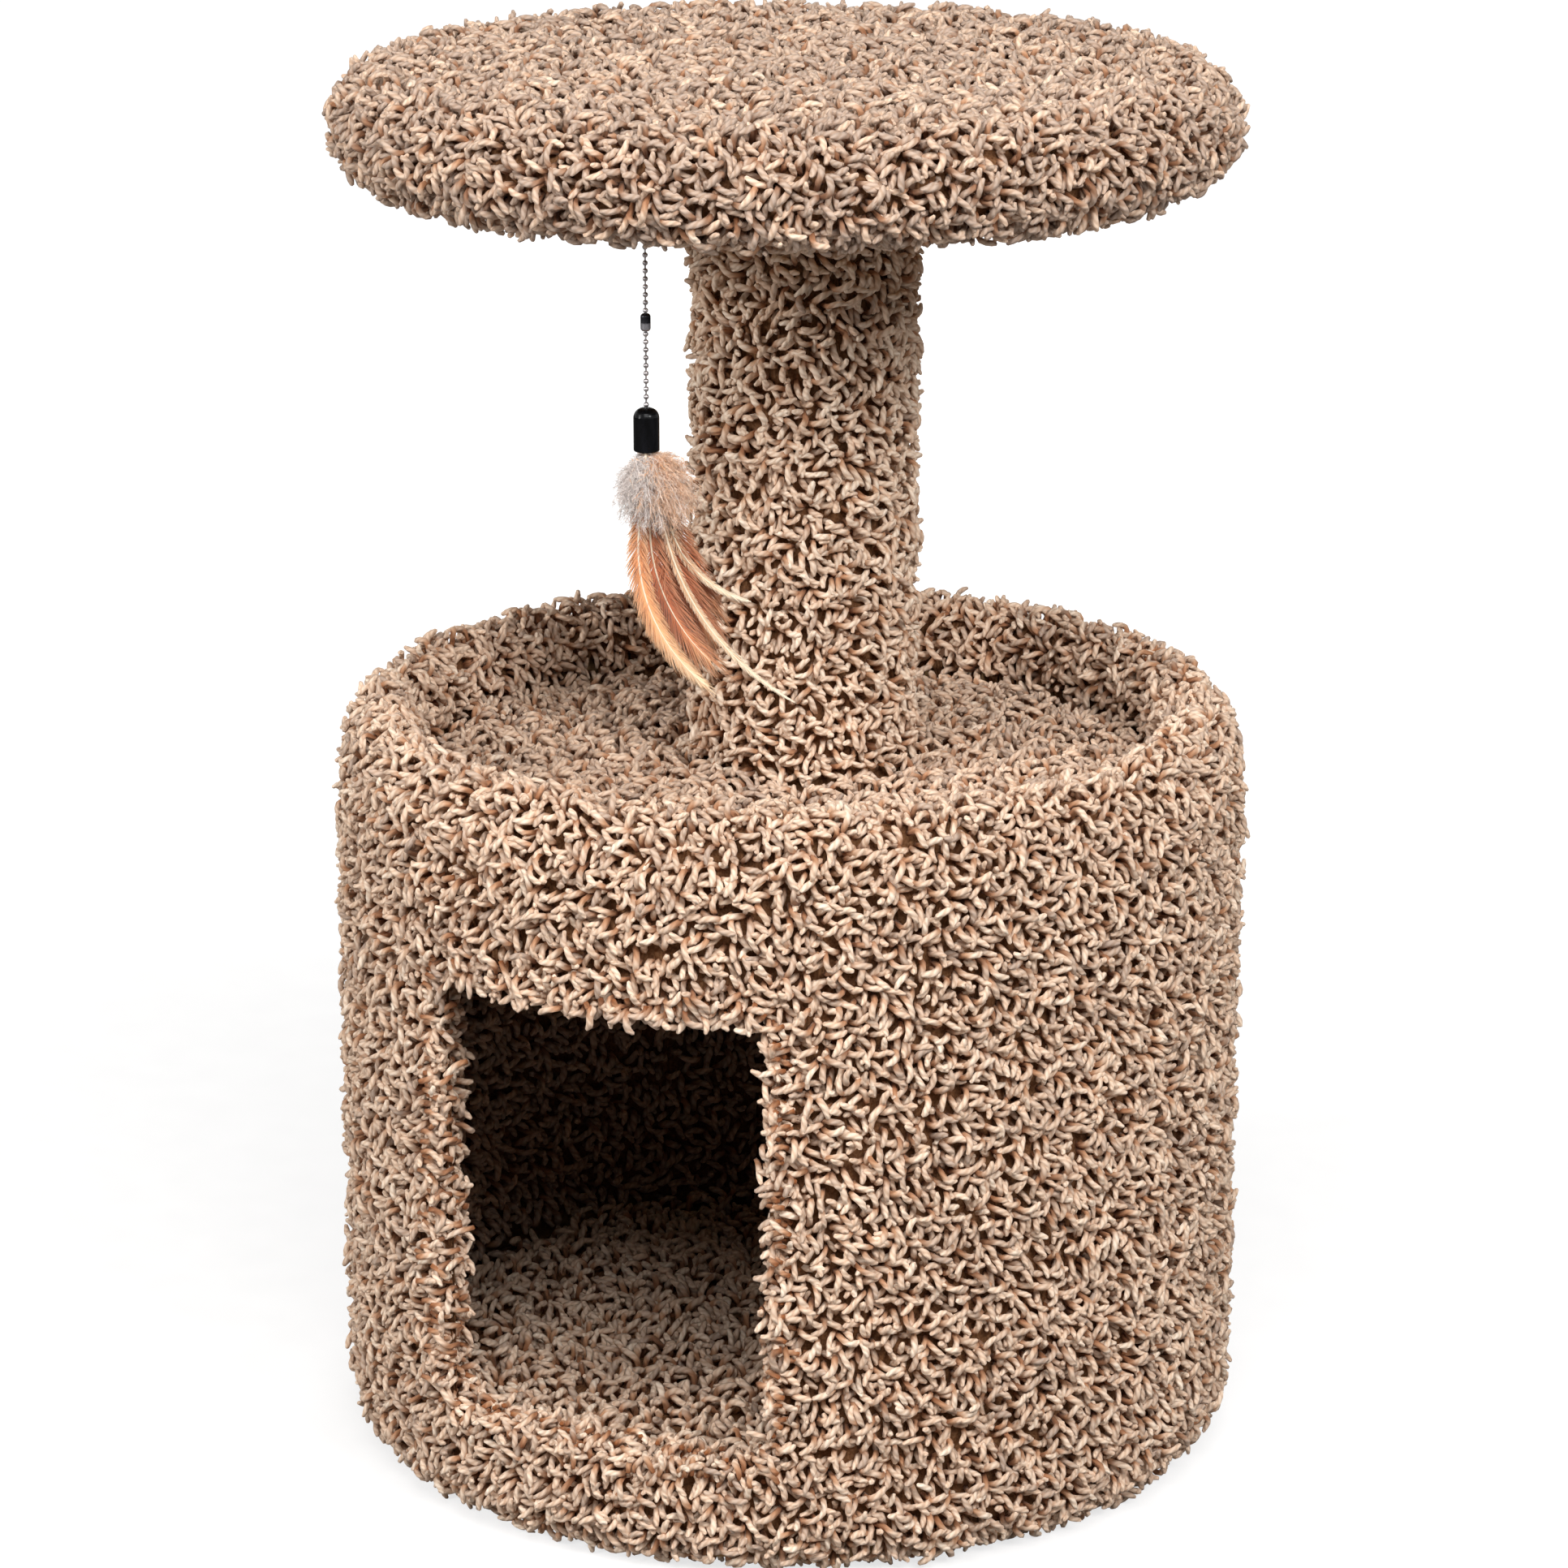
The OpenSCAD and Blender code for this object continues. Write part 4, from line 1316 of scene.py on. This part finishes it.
    def place(self, piece: bpy.types.Object, slot: str, *nodes: str) -> None:
        """Let a piece ride on the toy.

        Args:
            piece: what was built.
            slot: the record's material slot; not used.
            nodes: the CAD nodes that it stands for.
        """
        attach(piece, self.body)
        if nodes:
            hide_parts(*nodes)
        LOG.info("%s: %d faces", piece.name, len(piece.data.polygons))

    def build(self) -> None:
        """Make the down and the feathers."""
        peach, rust, cream = PEACH.material(), RUST.material(), CREAM.material()
        quill = QUILL.material()
        for i, barbs in enumerate((peach, cream, rust, cream, rust, cream, rust)):
            name = f"feather_{i + 1}"
            slot = "cream_feather" if barbs is cream else "rust_feather"
            self.place(self.vane(i).build(name + "_vane", barbs), slot, name)
            self.place(self.quill(i).build(name + "_quill", quill), slot)
        strands, hairs = self.down()
        grey = GREY_DOWN.material()
        self.place(strands.build("down_strands", grey), "grey_down", "toy_fluff")
        for i, bundle in enumerate(hairs.bundles(np.arange(len(hairs.lines))), start=1):
            self.place(bundle.build(f"down_hairs_{i}", grey), "grey_down")


@dataclass(frozen=True)
class Lamp:
    """Square soft box that faces the middle of the object: degrees from the camera's side, metres, watts."""

    name: str
    turn: float
    elevation: float
    away: float
    size: float
    watts: float


LAMPS = (
    Lamp("front_box", turn=0, elevation=46, away=2.8, size=1.4, watts=54),
    Lamp("left_box", turn=-62, elevation=20, away=3.0, size=0.7, watts=50),
    Lamp("right_box", turn=36, elevation=34, away=3.0, size=0.9, watts=52),
    Lamp("back_box", turn=165, elevation=12, away=3.0, size=1.2, watts=32),
)


@dataclass
class Studio:
    """Floor, light and camera. Metres and degrees."""

    camera_az: float = 26.0
    camera_away: float = 2.2847
    camera_z: float = 1.0093
    camera_down: float = 16.902
    camera_yaw: float = 0.0713
    lens_mm: float = 115.25
    sensor_mm: float = 36.0
    clip: tuple[float, float] = (0.05, 60.0)
    world_light: float = 0.05
    floor_half: float = 14.0
    floor_dark: str = "#959493"
    floor_pale: str = "#9b9a99"
    floor_white: float = 0.74
    floor_fade: tuple[float, float] = (0.35, 2.6)
    floor_roughness: float = 0.9
    floor_specular: float = 0.1
    speckle_scale: float = 40.0
    speckle_layers: float = 2.0
    speckle_stops: Stops = (0.3, 0.7)

    def toward(self, azimuth: float, elevation: float) -> Vector:
        """Return the direction from the object to a place seen at these angles."""
        a, e = math.radians(azimuth), math.radians(elevation)
        return Vector((math.sin(a) * math.cos(e), -math.cos(a) * math.cos(e), math.sin(e)))

    def camera(self) -> None:
        """Set up the camera at the photograph's view."""
        data = bpy.data.cameras.new("camera")
        data.lens = self.lens_mm
        data.sensor_width = self.sensor_mm
        data.clip_start, data.clip_end = self.clip
        made = bpy.data.objects.new("camera", data)
        bpy.context.scene.collection.objects.link(made)
        made.location = self.toward(self.camera_az, 0) * self.camera_away + Vector((0, 0, self.camera_z))
        back = self.toward(self.camera_az + self.camera_yaw, self.camera_down)
        made.rotation_euler = (-back).to_track_quat("-Z", "Y").to_euler()
        bpy.context.scene.camera = made

    def hang(self, lamp: Lamp) -> None:
        """Hang a lamp.

        Args:
            lamp: which one, and where.
        """
        data = bpy.data.lights.new(lamp.name, "AREA")
        data.size = lamp.size
        data.energy = lamp.watts
        made = bpy.data.objects.new(lamp.name, data)
        bpy.context.scene.collection.objects.link(made)
        toward = self.toward(self.camera_az + lamp.turn, lamp.elevation)
        made.location = (CAD_BOX[0] + CAD_BOX[1]) / 2 + toward * lamp.away
        made.rotation_euler = (-toward).to_track_quat("-Z", "Y").to_euler()

    def seen_white(self, g: Graph) -> Socket:
        """Tell rays that look at the background from those that carry its light.

        Args:
            g: the nodes to add to.

        Returns:
            The socket of a value that is 1 for rays from the camera, a mirror or glass, and else 0.
        """
        path = g.add("LightPath")
        shine = g.math("MAXIMUM", path.outputs["Is Glossy Ray"], path.outputs["Is Transmission Ray"])
        return g.math("MAXIMUM", path.outputs["Is Camera Ray"], shine)

    def world(self) -> None:
        """Set an even pale world that shows as white."""
        made = bpy.data.worlds.new("studio")
        bpy.context.scene.world = made
        g = Graph(made)
        strength = g.math("MAXIMUM", self.seen_white(g), self.world_light)
        shade = g.add("Background", {"Color": WHITE, "Strength": strength})
        g.add("OutputWorld", {"Surface": shade.outputs[0]})

    def floor(self) -> None:
        """Lay a pale floor that keeps the object's shadow."""
        half = self.floor_half
        corners = [(-half, -half, 0), (half, -half, 0), (half, half, 0), (-half, half, 0)]
        mesh = bpy.data.meshes.new("floor")
        mesh.from_pydata(corners, [], [(0, 1, 2, 3)])
        g = Graph.material("pale_floor")
        speckle = g.noise(g.place(), self.speckle_scale, self.speckle_layers)
        tint = g.fade(speckle, self.speckle_stops, paint(self.floor_dark), paint(self.floor_pale))
        away = g.add("VectorMath", {0: g.place()}, operation="LENGTH").outputs["Value"]
        near, far = self.floor_fade
        reach = {"Value": away, "From Min": near, "From Max": far, "To Min": self.floor_white}
        fade = g.add("MapRange", reach).outputs[0]
        glow = g.math("MULTIPLY", g.add("LightPath").outputs["Is Camera Ray"], fade)
        mesh.materials.append(g.finish({
            "Base Color": tint,
            "Roughness": self.floor_roughness,
            "Specular IOR Level": self.floor_specular,
            "Emission Color": WHITE,
            "Emission Strength": glow,
        }))
        made = bpy.data.objects.new("floor", mesh)
        bpy.context.scene.collection.objects.link(made)

    def build(self) -> None:
        """Make the camera, the lamps, the world and the floor."""
        bpy.context.scene.view_settings.view_transform = "Standard"
        self.camera()
        for lamp in LAMPS:
            self.hang(lamp)
        self.world()
        self.floor()


FINISHED = (
    Fixed(PLYWOOD, ("base_board", "deck_board", "perch_board", "post_foot_plug", "post_head_plug")),
    Fixed(FIBRE_TUBE, ("barrel_shell", "post_core")),
    Fixed(STEEL_WIRE, ("hem_staples", "perch_staples", "toy_eye", "chain_coupling")),
    Fixed(ZINC, ("base_screws", "deck_screws", "plug_screws", "foot_screws", "foot_washers", "head_screws")),
    Fixed(CHAIN, ("bead_chain_upper", "bead_chain_lower")),
    Fixed(BLACK_NICKEL, ("chain_connector",)),
    Fixed(CAP, ("toy_cap",)),
    Fixed(GLUE, ("quill_plug",)),
)

CARPETS = (
    Carpet("barrel_carpet", "barrel_shell", flat=(1.34, 0.46), area=0.52, seed=11),
    Carpet("doorway_carpet", "barrel_shell", flat=(0.74, 0.05), area=0.034, seed=12, worn=1.5 * MM),
    Carpet("floor_carpet", "base_board", flat=(0.35, 0.35), area=0.096, held=Held.LAID, lay=Lay.SHELTERED,
           seed=13),
    # Painted shade: a tone of 0 makes the lining the darkest yarn, for the dim inside of the den
    Carpet("lining_carpet", "barrel_shell", flat=(1.10, 0.26), area=0.26, lay=Lay.SHELTERED, seed=14,
           tone=0.0),
    # Painted light and shade: the post's paler tone and the deck's and perch's darker ones match how light
    # falls on each
    Carpet("deck_carpet", "deck_board", flat=(0.35, 0.35), area=0.088, held=Held.LAID, seed=15, tone=0.38),
    Carpet("post_carpet", "post_core", flat=(0.33, 0.30), area=0.095, seed=16, tone=0.7),
    Carpet("perch_carpet", "perch_board", flat=(0.58, 0.58), area=0.22, seed=17, tone=0.15,
           parted_by="bead_chain_upper"),
    Carpet("base_hem", "base_board", flat=(0.40, 0.40), area=0.052, lay=Lay.CRUSHED, seed=18),
)


def main() -> None:
    """Build the studio, the carpets, the fixed pieces and the toy."""
    logging.basicConfig(level=logging.INFO, format="%(name)s: %(message)s")
    yarn, cloth = YARN.material(), BACKING.material()
    Studio().build()
    for fixed in FINISHED:
        fixed.dress()
    for carpet in CARPETS:
        carpet.build(yarn, cloth)
    Toy().build()


if __name__ == "__main__":
    main()
